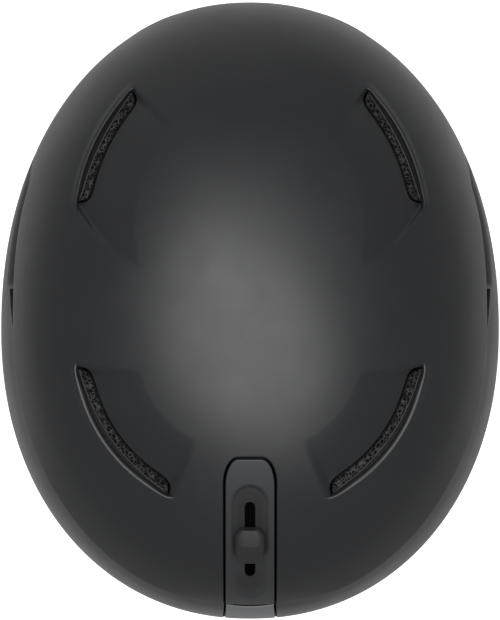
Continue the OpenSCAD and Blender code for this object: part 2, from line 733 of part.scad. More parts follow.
// Band end with a toothed rack, drawn for the left one above the pinion
tooth_share = 0.34;
tooth_flank = 0.1;
tooth_root = 0.1;
rack_teeth = [-5, 2];
module band_end() {
    half_root = pitch * (tooth_share / 2 + tooth_flank);
    half_tip = pitch * (tooth_share / 2 - tooth_flank);
    tip = pitch_r - tooth_h + rack_clear;
    translate([0, band_y, fit_z])
        rotate([90, 0, 0])
            linear_extrude(height = band_t) {
                translate([-band_reach, rack_line])
                    square([band_reach + band_overlap, bar_h]);
                for (k = [rack_teeth[0] : rack_teeth[1]])
                    translate([(k + 0.5) * pitch, 0])
                        polygon([[-half_root, rack_line + tooth_root], [-half_tip, tip], [half_tip, tip],
                            [half_root, rack_line + tooth_root]]);
            }
}
module band_end_left() {
    color(plastic_black)
        band_end();
}
module band_end_right() {
    color(plastic_black)
        translate([0, 0, fit_z])
            rotate([0, 180, 0])
                translate([0, 0, -fit_z])
                    band_end();
}
shaft_r = 3;
shaft_gap = 0.05;
channel_half = rack_line + bar_h + seat_gap;
module fit_housing() {
    depth = band_t + 2 * seat_gap + 2 * housing_wall;
    color(plastic_black)
        difference() {
            translate([-housing_half.x, band_y + seat_gap + housing_wall - depth, fit_z - housing_half.y])
                cube([2 * housing_half.x, depth, 2 * housing_half.y]);
            translate([-2 * housing_half.x, band_y - band_t - seat_gap, fit_z - channel_half])
                cube([4 * housing_half.x, band_t + 2 * seat_gap, 2 * channel_half]);
            translate([0, band_y - band_t, fit_z])
                rotate([90, 0, 0])
                    cylinder(r = shaft_r + shaft_gap, h = 3 * housing_wall, $fn = 48);
        }
}
grips = 14;
grip_r = 2.2;
grip_depth = 1;
grip_over = 1;
shaft_join = 0.1;
module fit_dial() {
    face_y = band_y - band_t - seat_gap - housing_wall - seat_gap;
    color(shell_black) {
        translate([0, face_y, fit_z])
            rotate([90, 0, 0])
                difference() {
                    cylinder(r = dial_r, h = dial_t, $fn = 96);
                    for (k = [0 : grips - 1])
                        rotate(360 * k / grips)
                            translate([dial_r + grip_r - grip_depth, 0, -grip_over])
                                cylinder(r = grip_r, h = dial_t + 2 * grip_over, $fn = 32);
                }
        translate([0, band_y, fit_z])
            rotate([90, 0, 0])
                union() {
                    cylinder(r = shaft_r, h = band_y - face_y + shaft_join, $fn = 48);
                    linear_extrude(height = band_t)
                        pinion_outline();
                }
    }
}
pinion_flank = 0.08;
pinion_root = 0.6;
module pinion_outline() {
    root = pitch_r - tooth_h;
    tip = pitch_r + tooth_h;
    half_root = pitch * (tooth_share / 2 + pinion_flank);
    half_tip = pitch * (tooth_share / 2 - pinion_flank);
    circle(r = root, $fn = 48);
    for (k = [0 : teeth - 1])
        rotate(90 + 360 * k / teeth)
            polygon([[root - pinion_root, -half_root], [tip, -half_tip], [tip, half_tip],
                [root - pinion_root, half_root]]);
}

// Straps: two legs on each side down to a divider, then a chin strap to the buckle
web_x = ear_x - seat_gap - web_t;
rivet_r = 1.6;
rivet_head_r = 4.5;
rivet_head_h = 1.2;
rivet_places = [[18, 80], [-34, 80]];
divider_y = ear_y;
divider_z = 26;
leg_end_z = divider_z + 6;
leg_spread = 5;
leg_past = 7;
rivet_len = 12;
rivet_join = 0.01;
rivet_play = 0.1;
module rivet_shanks(r) {
    for (q = rivet_places)
        translate([web_x - seat_gap - rivet_join, q[0], q[1]])
            rotate([0, 90, 0])
                cylinder(r = r, h = rivet_len, $fn = 24);
}
module side_strap_right() {
    color(mesh_black)
        difference() {
            translate([web_x, 0, 0])
                rotate([90, 0, 90])
                    linear_extrude(height = web_t)
                        for (k = [0, 1])
                            leg_outline([divider_y + leg_spread * (1 - 2 * k), leg_end_z], rivet_places[k]);
            translate([-web_t, 0, 0])
                rivet_shanks(rivet_r + rivet_play);
        }
}
// Outline of one leg in the side view, half a web wide at the foot, where the two legs lie side by side
leg_w = 9.6;
module leg_outline(foot, head) {
    d = unit(head - foot);
    n = [-d.y, d.x] * leg_w / 2;
    tip = head + d * leg_past;
    polygon([foot + [-leg_w / 2, 0], foot + [leg_w / 2, 0], tip - n, tip + n]);
}
module side_strap_left() {
    left() side_strap_right();
}
divider_size = [4.4, 24, 13];
divider_mouth = 6.2;
divider_mid = 4;
legs_w = 2 * leg_spread + leg_w + 6 * seat_gap;
module strap_divider_right() {
    mouth_t = web_t + 2 * seat_gap;
    color(plastic_black)
        translate([web_x + web_t / 2, divider_y, divider_z])
            difference() {
                cube(divider_size, center = true);
                translate([0, 0, divider_mid])
                    cube([mouth_t, legs_w, divider_mouth], center = true);
                translate([0, 0, -divider_mid])
                    cube([mouth_t, web_w + 2 * seat_gap, divider_mouth], center = true);
            }
}
module strap_divider_left() {
    left() strap_divider_right();
}
// Chin strap: down from the divider, round a bend and flat along the ground to the buckle
bend_r = 9;
web_low = 0.5;
socket_x = [-20, 10];
tongue_x = [-34, -21];
web_seat = 5;
bend_steps = 6;
web_in_divider = 0.3;
module chin_strap(end_x) {
    x = web_x + web_t / 2;
    low = web_low + web_t / 2;
    top = divider_z - divider_size.z / 2 + web_in_divider;
    bend = [for (k = [0 : bend_steps]) let (a = 90 * k / bend_steps)
        [x - bend_r + bend_r * cos(a), low + bend_r - bend_r * sin(a)]];
    path = concat([[x, top]], bend, [[end_x, low]]);
    last = len(path) - 1;
    function side(i) = let (d = unit(path[min(last, i + 1)] - path[max(0, i - 1)])) [-d.y, d.x] * web_t / 2;
    color(mesh_black)
        translate([0, divider_y + web_w / 2, 0])
            rotate([90, 0, 0])
                linear_extrude(height = web_w)
                    polygon(concat([for (i = [0 : last]) path[i] + side(i)],
                        [for (i = [last : -1 : 0]) path[i] - side(i)]));
}
module chin_strap_right() {
    chin_strap(socket_x[1] - web_seat + seat_gap);
}
module chin_strap_left() {
    left() chin_strap(-tongue_x[0] - web_seat + seat_gap);
}
buckle_w = 25;
buckle_h = 8;
prong_w = 4.5;
prong_h = 3.4;
prong_z = 3.2;
prong_len = 19;
prong_back = 2;
mouth_over = 0.02;
buckle_low = web_low - seat_gap - 0.1;
module web_mouth(x) {
    translate([x, divider_y - web_w / 2 - seat_gap, web_low - seat_gap])
        cube([web_seat + mouth_over, web_w + 2 * seat_gap, web_t + 2 * seat_gap]);
}
// Rounded block of the buckle, lying on its back
module buckle_block(x0, x1) {
    round_r = 3;
    translate([0, 0, buckle_low])
        linear_extrude(height = buckle_h)
            hull()
                for (x = [x0 + round_r, x1 - round_r], s = [-1, 1])
                    translate([x, divider_y + s * (buckle_w / 2 - round_r)])
                        circle(r = round_r, $fn = 32);
}
module prong_space(room, x0, x1) {
    for (s = [-1, 1])
        translate([x0, divider_y + s * (buckle_w / 2 - prong_w) - prong_w / 2 - room, prong_z - room])
            cube([x1 - x0, prong_w + 2 * room, prong_h + 2 * room]);
}
module buckle_socket() {
    color(plastic_black)
        difference() {
            buckle_block(socket_x[0], socket_x[1]);
            web_mouth(socket_x[1] - web_seat);
            prong_space(seat_gap, socket_x[0] - prong_back, socket_x[0] + prong_len);
        }
}
module buckle_tongue() {
    color(plastic_black)
        difference() {
            union() {
                buckle_block(tongue_x[0], tongue_x[1]);
                prong_space(0, tongue_x[1] - prong_back, tongue_x[1] + prong_len);
            }
            web_mouth(tongue_x[0] - mouth_over);
        }
}
module strap_rivets() {
    color(steel)
        both_sides() {
            for (q = rivet_places)
                translate([web_x - seat_gap - rivet_head_h, q[0], q[1]])
                    rotate([0, 90, 0])
                        cylinder(r = rivet_head_r, h = rivet_head_h, $fn = 40);
            rivet_shanks(rivet_r);
        }
}

module vent_mesh_front_right() {
    vent_mesh(front_vent);
}
module vent_mesh_front_left() {
    left() vent_mesh_front_right();
}
module vent_mesh_rear_right() {
    vent_mesh(rear_vent);
}
module vent_mesh_rear_left() {
    left() vent_mesh_rear_right();
}

upper_shell();
lower_shell();
rear_panel();
vent_knob();
vent_shutter();
slider_screw();
vent_mesh_front_left();
vent_mesh_front_right();
vent_mesh_rear_left();
vent_mesh_rear_right();
goggle_clip();
goggle_clip_pin();
goggle_clip_base();
edge_trim();
foam_liner();
crown_pad();
brow_pad();
side_pad_left();
side_pad_right();
rear_pad();
ear_pad_left();
ear_pad_right();
ear_plate_left();
ear_plate_right();
fit_arm_left();
fit_arm_right();
fit_housing();
fit_dial();
band_end_left();
band_end_right();
side_strap_left();
side_strap_right();
strap_divider_left();
strap_divider_right();
chin_strap_left();
chin_strap_right();
buckle_socket();
buckle_tongue();
strap_rivets();
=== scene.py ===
"""A ski helmet seen from above: satin black shells with four mesh vents, a vent slider at the back,
foam, pads, dial fit band and chin strap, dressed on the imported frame."""
import math

import bmesh
import bpy
import numpy as np
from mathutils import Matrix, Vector


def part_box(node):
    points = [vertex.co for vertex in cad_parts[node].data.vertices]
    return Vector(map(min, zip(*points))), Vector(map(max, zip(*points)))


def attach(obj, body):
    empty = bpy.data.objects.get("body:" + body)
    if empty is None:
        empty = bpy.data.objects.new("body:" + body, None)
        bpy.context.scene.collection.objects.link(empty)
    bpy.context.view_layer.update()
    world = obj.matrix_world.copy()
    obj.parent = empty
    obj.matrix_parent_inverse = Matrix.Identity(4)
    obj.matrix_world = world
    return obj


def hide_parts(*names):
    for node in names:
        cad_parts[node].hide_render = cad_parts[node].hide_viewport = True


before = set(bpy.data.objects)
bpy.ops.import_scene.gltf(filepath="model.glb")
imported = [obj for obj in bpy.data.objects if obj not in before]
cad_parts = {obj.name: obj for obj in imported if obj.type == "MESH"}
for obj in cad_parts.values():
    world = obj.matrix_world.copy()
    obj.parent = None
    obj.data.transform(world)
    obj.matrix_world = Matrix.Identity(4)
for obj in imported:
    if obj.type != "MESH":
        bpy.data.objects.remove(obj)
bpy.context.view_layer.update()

# Sizes in millimetres, angles in degrees, and shares. The helmet's surface is that of the part's source.
MM = 0.001
SIDES = (("left", -1.0), ("right", 1.0))
HALF_W, FRONT_LEN, REAR_LEN, WIDEST_Y = 114.5, 150.5, 133.0, -9.0
EQUATOR_Z, DOME_H, PLAN_EXP, DOME_EXP, SKIRT_TUCK, SKIRT_H = 88.0, 97.0, 2.12, 2.15, 4.0, 50.0
RIM_FRONT, RIM_SIDE, RIM_REAR, RIM_EASE = 75.0, 61.0, 49.0, 0.95
SHELL_T, SEAT_GAP, DEG_PER_MM, STEEPEST = 2.2, 0.3, 0.62, 0.35

# Seam between the shells, its crease, and the scoop and notch at the temples
SEAM_REAR, SEAM_LIFT, SEAM_FALL, FALL_SPAN, DROP_SPAN = 122.0, 4.0, 10.0, (0.02, 0.5), (0.41, 0.67)
CREASE_OUT, CREASE_UP, CREASE_DOWN = 0.8, 14.0, 30.0
CREASE_SIDE, CREASE_REAR, LIFT_REAR = (0.0, 40.0), (66.0, 81.5), (30.0, 82.0)
EDGE_ROUND, INSIDE_DEPTH, SEAM_LINE = 0.25, 8.5, 0.08
BAND_ROUND, BAND_INSET, BAND_EASE, BAND_END = 0.2, 0.2, 8.0, 43.0
BAND_SPLIT, BAND_CLOSER = 0.35, 1.4
NOTCH_END, NOTCH_DEPTH = 6.6, 6.0
SCOOP_DEPTH, SCOOP_TALL, SCOOP_FULL, SCOOP_FADE = 3.6, 11.0, -24.0, 0.9

# Vents: ridge, lip, groove, well, mesh and dish, and how far the painted shade in groove and well reaches
FRONT_RIDGE = np.array([[54.5, 101.0], [68.3, 82.5], [79.5, 49.0]])
REAR_RIDGE = np.array([[80.0, -26.0], [67.0, -60.5], [37.5, -85.5]])
PATCH_OUT, PATCH_IN, END_LAP, SIDE_LAP, PROUD = 5.0, 25.0, 0.03, 2.0, 0.02
LIP_MID, LIP_HALF, LIP_H, LIP_POWER = -0.3, 1.9, 0.36, 1.5
LIP_FOOT, LIP_EDGE, LIP_ROOM, LIP_FADE = -1.6, -0.2, 0.2, (-0.05, 0.03)
GROOVE_DEPTH, GROOVE_ENDS, GROOVE_SHADE_ROWS, SHADE_PAINT_ENDS = 3.0, 0.04, 5, 0.01
WALL, WELL, WELL_ROWS, WELL_OPENS = 0.12, 6.0, 7, (0.3, 1.2)
DISH_DEPTH, DISH_W, DISH_POWER = 3.0, 21.0, 1.3
MESH_BLUNT, MESH_LEAST, MESH_DEPTH, MESH_GAP, MESH_T, MESH_ENDS = 11.0, 0.5, 3.5, 0.15, 1.2, 0.015
MESH_CROWN, MESH_FALL, RIM_BEAD_IN, RIM_BEAD_HALF, RIM_BEAD_H = 0.25, 1.2, 0.35, 0.2, 0.35

# Rear panel with the slider's recess and slot, its frame in the shell, and the knob
PANEL_HALF_W, PANEL_GAP, PANEL_T, PANEL_ROUND = 11.2, 1.0, 3.0, 0.6
PANEL_TOP_Y, PANEL_FLAT, PANEL_CORNER = -68.0, 5.2, 12.0
FRAME_W, FRAME_ROUND, FRAME_FOOT, FRAME_DEPTH = 6.0, 0.5, 3.0, SHELL_T + 2.0
SLIDER_AXIS = np.array([-41.4673, 72.104])
FLOOR_R, RUN_GAP = 107.267 - 1.4, 0.2
RECESS_HALF, RECESS_ENDS, HOLLOW_EDGE = 7.7, (-80.5, -130.6), (-1.5, 1.2)
SLOT_HALF, SLOT_ENDS, SLOT_EDGE, SLOT_FALL = 2.3, (-87.2, -122.4), (-0.15, 0.15), 2.6
SHADE_EDGE, SHADE_FADE, HEEL_Y, HEEL_HALF = (-1.2, 2.4), (-102.0, -118.0), -124.5, (7.0, 4.6)
KNOB_HALF, KNOB_H, KNOB_TOE, KNOB_LEN, KNOB_DEG = 7.5, 5.2, 3.1, 17.6, 52.5
KNOB_NOSE, KNOB_RISE, KNOB_HEEL, KNOB_BACK = 0.3, 0.42, (0.6, 0.4), (0.93, 0.07)
NOSE_WIDE, HEEL_WIDE, BACK_TALL, CREST_WIDE = 0.58, 0.5, 0.45, (0.86, 0.8)

# Goggle clip, its lugs and its back plate
CLIP_Z, HINGE_Y, HINGE_Z, CLIP_ROUND, CLIP_DIP = 77.0, -134.42, 119.2, 0.5, 1.1
CLIP_TOP, CLIP_FOOT = HINGE_Z + 2.2, CLIP_Z + 0.8
CLIP_HALF_DEG, CLIP_GAP_DEG, BARREL_DEG = 5.45, 0.4, 3.45
LUG_R, LUG_X, LUG_EASE, LUG_COVER, LUG_LOW = 1.5, (7.75, 10.05), 0.12, 0.62, HINGE_Z - 2.6
LUG_ROOT = (HINGE_Z - 3.4, HINGE_Z + 1.9)
BASE_Y, BACK_PLATE = (-128.42, -126.42), (10.2, 12.5)

# Trim, foam and pads
TRIM_T, TRIM_CORNER_T, TRIM_CORNER = 0.2, 0.55, 68.8
TRIM_UP, TRIM_UNDER, TRIM_LOW = 5.0, 4.5, 1.8
FOAM_SIDE, FOAM_ENDS, FOAM_TOP, FOAM_OUT, FOAM_SUNK = 24.0, 30.0, 27.0, SHELL_T + 0.5, 14.0
FOOT_ROUND, CHANNEL_DEPTHS = 3.0, (2.0, 60.0)
PAD_T, PAD_GAP, PAD_EDGE, PAD_PULL = 8.0, 0.6, 1.2, 1.2
PAD_CHANNEL_W, PAD_CHANNEL, STITCH_IN, STITCH_W, STITCH = 0.014, 0.55, 4.0, 0.7, 0.25
CROWN_PAD_W, CROWN_RING, CROWN_RING_W, CROWN_SEWN, SPOKE_DEG = 52.0, 0.42, 0.025, 0.5, 3.0
EAR_X, EAR_Y, EAR_TOP, EAR_LEN, EAR_EXP, EAR_BACK = 82.0, -8.0, 58.3, 92.0, 0.72, 19.0
EAR_SEAM, EAR_SEAM_W, EAR_SEAM_IN = 11.0, 0.8, 1.1
EAR_STITCH, EAR_STITCH_W, EAR_STITCH_IN = 0.44, 0.022, 0.9
CLOTH_VOXEL, CLOTH_PRESSURE, CLOTH_CAP, CLOTH_FRAMES = 4.0, 4.0, 5.0, 20

# Fit system, buckle and straps
CASE_WALL, CASE_LEDGE, CASE_ROUND, SHAFT_ROOM = 2.4, 1.95, 2.0, 3.4
FIT_Z, PADDLE_HALF, BUCKLE_ROUND = 30.0, (6.5, 10.6), 1.8
BUCKLE_HALVES = (("buckle_socket", (-20.0, 10.0), 0.17), ("buckle_tongue", (-34.0, -20.6), 0.0))
WEB_X, WEB_T, WEB_W, WEB_LOW, BEND_R = 80.3, 1.4, 18.0, 0.5, 9.0
LEG_W, LEG_PAST, LEG_CLIP, DIVIDER_Y, WEB_TOP = 9.6, 7.0, 2.0, -8.0, 26.0 - 6.2
STRAP_LEGS = (("front", (-3.0, 32.0), (18.0, 80.0)), ("rear", (-13.0, 32.0), (-34.0, 80.0)))
CHIN_ENDS = (("right", 5.3, 1.0), ("left", 29.3, -1.0))


def smooth(lo, hi, v):
    """Ramp from 0 at lo to 1 at hi with level ends."""
    t = np.clip((np.asarray(v, float) - lo) / (hi - lo), 0.0, 1.0)
    return t * t * (3.0 - 2.0 * t)


def mix(a, b, t):
    """Straight blend from a at t = 0 to b at t = 1."""
    return a + (b - a) * t


def arc(lo, hi, count):
    """Angles in radians, evenly from lo to hi degrees."""
    return np.radians(np.linspace(lo, hi, count))


def full_turn(count):
    """Angles in radians, evenly once round."""
    return np.radians(np.arange(count) * 360.0 / count)


def eased(count):
    """Shares from 0 to 1 that lie closer together at both ends."""
    return 0.5 - 0.5 * np.cos(np.pi * np.linspace(0.0, 1.0, count))


def joined(*parts):
    """Coordinates spread to one shape and stacked as the last axis."""
    return np.stack(np.broadcast_arrays(*parts), axis=-1)


def mirrored(points, side):
    """Points of the right side, or their mirror image where side is -1."""
    return points * np.array([side, 1.0, 1.0])


def bell(v, middle, width, power=2):
    """Share that is 1 at the middle and dies away over the width."""
    return np.exp(-((v - middle) / width) ** power)


def round_over(inside, radius):
    """Fall of a rounded edge, a quarter circle, by the distance inside the edge."""
    return radius * (1.0 - np.sqrt(1.0 - np.clip(1.0 - inside / radius, 0.0, 1.0) ** 2))


def run_of(path):
    """Length along a path up to each of its points."""
    return np.concatenate([[0.0], np.cumsum(np.linalg.norm(np.diff(path, axis=0), axis=1))])


def signed_power(v, e):
    """Power of the size of v, with the sign of v."""
    return np.sign(v) * np.abs(v) ** e


def circle_through(points):
    """Centre and radius of the circle through three points in plan."""
    (ax, ay), (bx, by), (cx, cy) = points
    d = 2.0 * (ax * (by - cy) + bx * (cy - ay) + cx * (ay - by))
    a2, b2, c2 = ax * ax + ay * ay, bx * bx + by * by, cx * cx + cy * cy
    centre = np.array([(a2 * (by - cy) + b2 * (cy - ay) + c2 * (ay - by)) / d,
                       (a2 * (cx - bx) + b2 * (ax - cx) + c2 * (bx - ax)) / d])
    return centre, float(np.hypot(ax - centre[0], ay - centre[1]))


class Vent:
    """One vent on the right side: its ridge's circle and the bearings of its ends. The groove is a width
    in mm at the ends and in the middle, the width goes from the ridge to the mesh's inner edge, and the
    lip is the radius of the ridge. The lean is how far the dish's two ends move along the vent for each mm
    towards the crown, the fade how soft they are, and the reach how far the patch goes past them."""

    def __init__(self, ridge, groove, width, lip, lean, fade, reach):
        self.centre, self.radius = circle_through(ridge)
        ends = ridge[[0, -1]] - self.centre
        self.start, self.stop = np.arctan2(ends[:, 1], ends[:, 0])
        self.groove, self.width, self.lip = groove, width, lip
        self.lean, self.fade, self.reach = lean, fade, reach

    def along_and_inward(self, x, y):
        """Share of the way from end to end, and distance inside the ridge, for places in plan."""
        dx, dy = np.abs(x) - self.centre[0], y - self.centre[1]
        t = (np.arctan2(dy, dx) - self.start) / (self.stop - self.start)
        return t, self.radius - np.hypot(dx, dy)

    def mesh_edges(self, t):
        """Outer and inner edge of the mesh, as distances inside the ridge: the groove outside it is
        widest in the middle, and at the rounded ends the inner edge closes onto the outer one."""
        along = 2.0 * np.clip(t, 0.0, 1.0) - 1.0
        outer = mix(self.groove[1], self.groove[0], along ** 2)
        wide = (self.width - outer) * np.sqrt(1.0 - np.abs(along) ** MESH_BLUNT)
        return outer, outer + np.maximum(wide, MESH_LEAST)

    def dish_share(self, t, inward):
        """How far into the dish a place is along the vent, from 0 outside its ends to 1."""
        depth = np.clip(inward, 0.0, None)
        return (smooth(-self.fade[0], self.fade[0], t - self.lean[0] * depth)
                * smooth(-self.fade[1], self.fade[1], 1.0 + self.lean[1] * depth - t))

    def place(self, t, inward):
        """Place in plan at a share of the way and a distance inside the ridge."""
        a = mix(self.start, self.stop, t)
        r = self.radius - inward
        return self.centre[0] + r * np.cos(a), self.centre[1] + r * np.sin(a)


FRONT_VENT = Vent(FRONT_RIDGE, (1.2, 2.6), 7.3, 1.7, (0.0, 0.023), (0.045, 0.05), (0.16, 0.66))
REAR_VENT = Vent(REAR_RIDGE, (1.5, 3.6), 8.4, 2.6, (0.0045, 0.0), (0.045, 0.045), (0.16, 0.16))
VENTS = (("front", FRONT_VENT), ("rear", REAR_VENT))


def semi_y(s):
    """Length of the plan outline's half, front or back."""
    return np.where(s >= 0.0, FRONT_LEN, REAR_LEN)


def ring_radius(w):
    """Share of the plan outline at the angle w above the widest ring, or w mm below it."""
    up = np.cos(np.radians(np.maximum(w, 0.0))) ** (2.0 / DOME_EXP)
    return np.where(w >= 0.0, up, 1.0 - SKIRT_TUCK / HALF_W * (w / SKIRT_H) ** 2)


def ring_height(w):
    """Height of the ring at w."""
    up = EQUATOR_Z + DOME_H * np.sin(np.radians(np.maximum(w, 0.0))) ** (2.0 / DOME_EXP)
    return np.where(w >= 0.0, up, EQUATOR_Z + w)


def ring_of(z):
    """The w of a height."""
    up = np.clip((z - EQUATOR_Z) / DOME_H, 0.0, 1.0) ** (DOME_EXP / 2.0)
    return np.where(z >= EQUATOR_Z, np.degrees(np.arcsin(up)), z - EQUATOR_Z)


def base_point(a, w):
    """Point of the plain helmet: a superellipse in plan carried up a superellipse profile."""
    c, s = np.cos(np.radians(a)), np.sin(np.radians(a))
    r = ring_radius(w)
    x = HALF_W * r * signed_power(c, 2.0 / PLAN_EXP)
    y = WIDEST_Y + semi_y(s) * r * signed_power(s, 2.0 / PLAN_EXP)
    return joined(x, y, ring_height(w))


def out_dir(p):
    """Unit normal of the plain helmet: the slope of its formula at p."""
    y = p[..., 1] - WIDEST_Y
    length = semi_y(y)
    up = np.clip((p[..., 2] - EQUATOR_Z) / DOME_H, 0.0, 1.0) ** (DOME_EXP - 1.0) / DOME_H
    n = np.stack([np.sign(p[..., 0]) * (np.abs(p[..., 0]) / HALF_W) ** (PLAN_EXP - 1.0) / HALF_W,
                  np.sign(y) * (np.abs(y) / length) ** (PLAN_EXP - 1.0) / length, up], axis=-1)
    return n / np.linalg.norm(n, axis=-1, keepdims=True)


def sunk(p, d):
    """Points moved d below the surface, along its normal."""
    return p - out_dir(p) * np.asarray(d)[..., None]


def over(x, y, d):
    """Points above the plan places x, y, set d below the plain surface."""
    r = ((np.abs(x) / HALF_W) ** PLAN_EXP
         + (np.abs(y - WIDEST_Y) / semi_y(y - WIDEST_Y)) ** PLAN_EXP) ** (1.0 / PLAN_EXP)
    z = EQUATOR_Z + DOME_H * np.clip(1.0 - r ** DOME_EXP, 0.0, 1.0) ** (1.0 / DOME_EXP)
    return sunk(joined(x, y, z), d)


def dropped(p, d):
    """Points of the surface moved straight down until they lie d below it."""
    low = np.array(p)
    low[..., 2] -= d / np.maximum(out_dir(p)[..., 2], STEEPEST)
    return low


def rim_height(a):
    """Height of the rim round the helmet: high at the brow, low at the nape."""
    s = np.sin(np.radians(a))
    return (RIM_SIDE + (RIM_FRONT - RIM_SIDE) * smooth(0.0, RIM_EASE, s)
            + (RIM_REAR - RIM_SIDE) * smooth(0.0, RIM_EASE, -s))


def between(a, rear):
    """Share by azimuth: none at the sides and beside the panel, all between them, falling over the
    degrees towards the back in rear."""
    to_rear = np.degrees(np.arcsin(np.clip(-np.sin(np.radians(a)), -1.0, 1.0)))
    return smooth(*CREASE_SIDE, to_rear) * (1.0 - smooth(*rear, to_rear))


def crease(a, away, reach):
    """Outward lift of a shell by its distance from the seam, so that the two shells meet at a crease."""
    return CREASE_OUT * between(a, CREASE_REAR) * (1.0 - np.clip(away / reach, 0.0, 1.0)) ** 2


def seam_height(a):
    """Height of the upper shell's edge: level at the sides and back but for a lift between them, a gentle
    fall along the temple, and then down to the rim."""
    s = np.sin(np.radians(a))
    level = SEAM_REAR + SEAM_LIFT * between(a, LIFT_REAR) - SEAM_FALL * smooth(*FALL_SPAN, s)
    return mix(level, rim_height(a), smooth(*DROP_SPAN, s))


def foam_inside(a, w, d):
    """Point on the foam's inner face, or d further in. The foam is thickest at front and back."""
    p = base_point(a, w)
    n = out_dir(p)
    wall = FOAM_OUT + np.linalg.norm(n * np.array([FOAM_SIDE, FOAM_ENDS, FOAM_TOP]), axis=-1)
    return p - n * (wall + d)[..., None]


# Meshes from arrays
def piece_from(name, verts, quads, tris=None, uv=None, sharp_deg=35.0):
    """Object in metres from points in mm, four-sided and three-sided faces, and a UV for each point."""
    mesh = bpy.data.meshes.new(name)
    tris = np.zeros((0, 3), int) if tris is None else tris
    loops = np.concatenate([quads.ravel(), tris.ravel()]).astype(np.int32)
    counts = np.concatenate([np.full(len(quads), 4), np.full(len(tris), 3)]).astype(np.int32)
    starts = np.concatenate([[0], np.cumsum(counts)[:-1]]).astype(np.int32)
    mesh.vertices.add(len(verts))
    mesh.vertices.foreach_set("co", (verts * MM).astype(np.float32).ravel())
    mesh.loops.add(len(loops))
    mesh.loops.foreach_set("vertex_index", loops)
    mesh.polygons.add(len(counts))
    mesh.polygons.foreach_set("loop_start", starts)
    mesh.update(calc_edges=True)
    mesh.polygons.foreach_set("use_smooth", np.ones(len(counts), bool))
    if uv is not None:
        layer = mesh.uv_layers.new(name="UVMap")
        layer.data.foreach_set("uv", uv[loops].astype(np.float32).ravel())
    mesh.validate()
    mesh.set_sharp_from_angle(angle=math.radians(sharp_deg))
    piece = bpy.data.objects.new(name, mesh)
    bpy.context.scene.collection.objects.link(piece)
    return piece


def signed_volume(verts, quads, tris):
    """Six times the volume inside the faces, negative where they point inwards."""
    t = np.concatenate([quads[:, [0, 1, 2]], quads[:, [0, 2, 3]], tris])
    a, b, c = verts[t[:, 0]], verts[t[:, 1]], verts[t[:, 2]]
    return float(np.einsum("ij,ij->i", np.cross(a, b), c).sum())


def skin(name, rings, loop=False, apex=None, uv=None, sharp_deg=35.0):
    """Closed piece through rings of points, an array (rings, points, 3). A loop joins its ends, two
    apex points close a dome or pad, and otherwise each end is closed by a strip across its ring."""
    n, m = rings.shape[:2]
    index = np.arange(n * m).reshape(n, m)
    near = index if loop else index[:-1]
    far = np.roll(index, -1, axis=0) if loop else index[1:]
    quads = np.stack([near, np.roll(near, -1, 1), np.roll(far, -1, 1), far], -1).reshape(-1, 4)
    verts = rings.reshape(-1, 3)
    tris = np.zeros((0, 3), int)
    if apex is not None:
        verts = np.concatenate([verts, np.asarray(apex, float)])
        first, last = index[0], index[-1]
        tris = np.concatenate([
            np.stack([np.full(m, n * m), np.roll(first, -1), first], -1),
            np.stack([np.full(m, n * m + 1), last, np.roll(last, -1)], -1)])
    elif not loop:
        half = m // 2
        for ring, turn in ((index[0], -1), (index[-1], 1)):
            back = ring[::-1]
            strip = np.stack([ring[:half - 1], ring[1:half], back[1:half], back[:half - 1]], -1)
            quads = np.concatenate([quads, strip[:, ::turn]])
    if signed_volume(verts, quads, tris) < 0.0:
        quads, tris = quads[:, ::-1], tris[:, ::-1]
    return piece_from(name, verts, quads, tris, uv, sharp_deg)


def plate(name, outer, inner, uv=None, sharp_deg=35.0):
    """Closed plate between two faces, each an array (columns, rows, 3)."""
    return skin(name, np.concatenate([outer, inner[:, ::-1]], axis=1), uv=uv, sharp_deg=sharp_deg)


def stacked(name, place, half, hard, count, layers):
    """Plate across Y: a superellipse of two half sizes, stacked at the depths and sizes in layers."""
    q = full_turn(count)
    edge = joined(half[0] * signed_power(np.cos(q), hard), 0.0, half[1] * signed_power(np.sin(q), hard))
    rings = np.stack([place + edge * k + [0.0, y, 0.0] for y, k in layers])
    return skin(name, rings, apex=[place + [0.0, layers[k][0], 0.0] for k in (0, -1)])


def sheet(name, points, sharp_deg):
    """Open surface through an array of points (columns, rows, 3), turned to face up."""
    n, m = points.shape[:2]
    index = np.arange(n * m).reshape(n, m)
    quads = np.stack([index[:-1, :-1], index[1:, :-1], index[1:, 1:], index[:-1, 1:]], -1).reshape(-1, 4)
    verts = points.reshape(-1, 3)
    across = np.cross(verts[quads[:, 2]] - verts[quads[:, 0]], verts[quads[:, 3]] - verts[quads[:, 1]])
    quads = quads if across[:, 2].sum() > 0.0 else quads[:, ::-1]
    return piece_from(name, verts, quads, sharp_deg=sharp_deg)


def paint(piece, chosen, index):
    """Gives the chosen faces of a piece another of its materials."""
    faces = np.empty(len(piece.data.polygons), np.int32)
    piece.data.polygons.foreach_get("material_index", faces)
    faces[chosen] = index
    piece.data.polygons.foreach_set("material_index", faces)


def face_centres(piece):
    """Middle of each face in mm."""
    centre = np.empty(3 * len(piece.data.polygons), np.float32)
    piece.data.polygons.foreach_get("center", centre)
    return centre.reshape(-1, 3) / MM


# Upper shell: a plain dome with windows, filled by fine patches that run along each vent and the panel
def without(piece, chosen):
    """Takes the chosen faces out of a piece."""
    work = bmesh.new()
    work.from_mesh(piece.data)
    work.faces.ensure_lookup_table()
    bmesh.ops.delete(work, geom=[work.faces[i] for i in np.nonzero(chosen)[0]], context="FACES")
    work.to_mesh(piece.data)
    work.free()


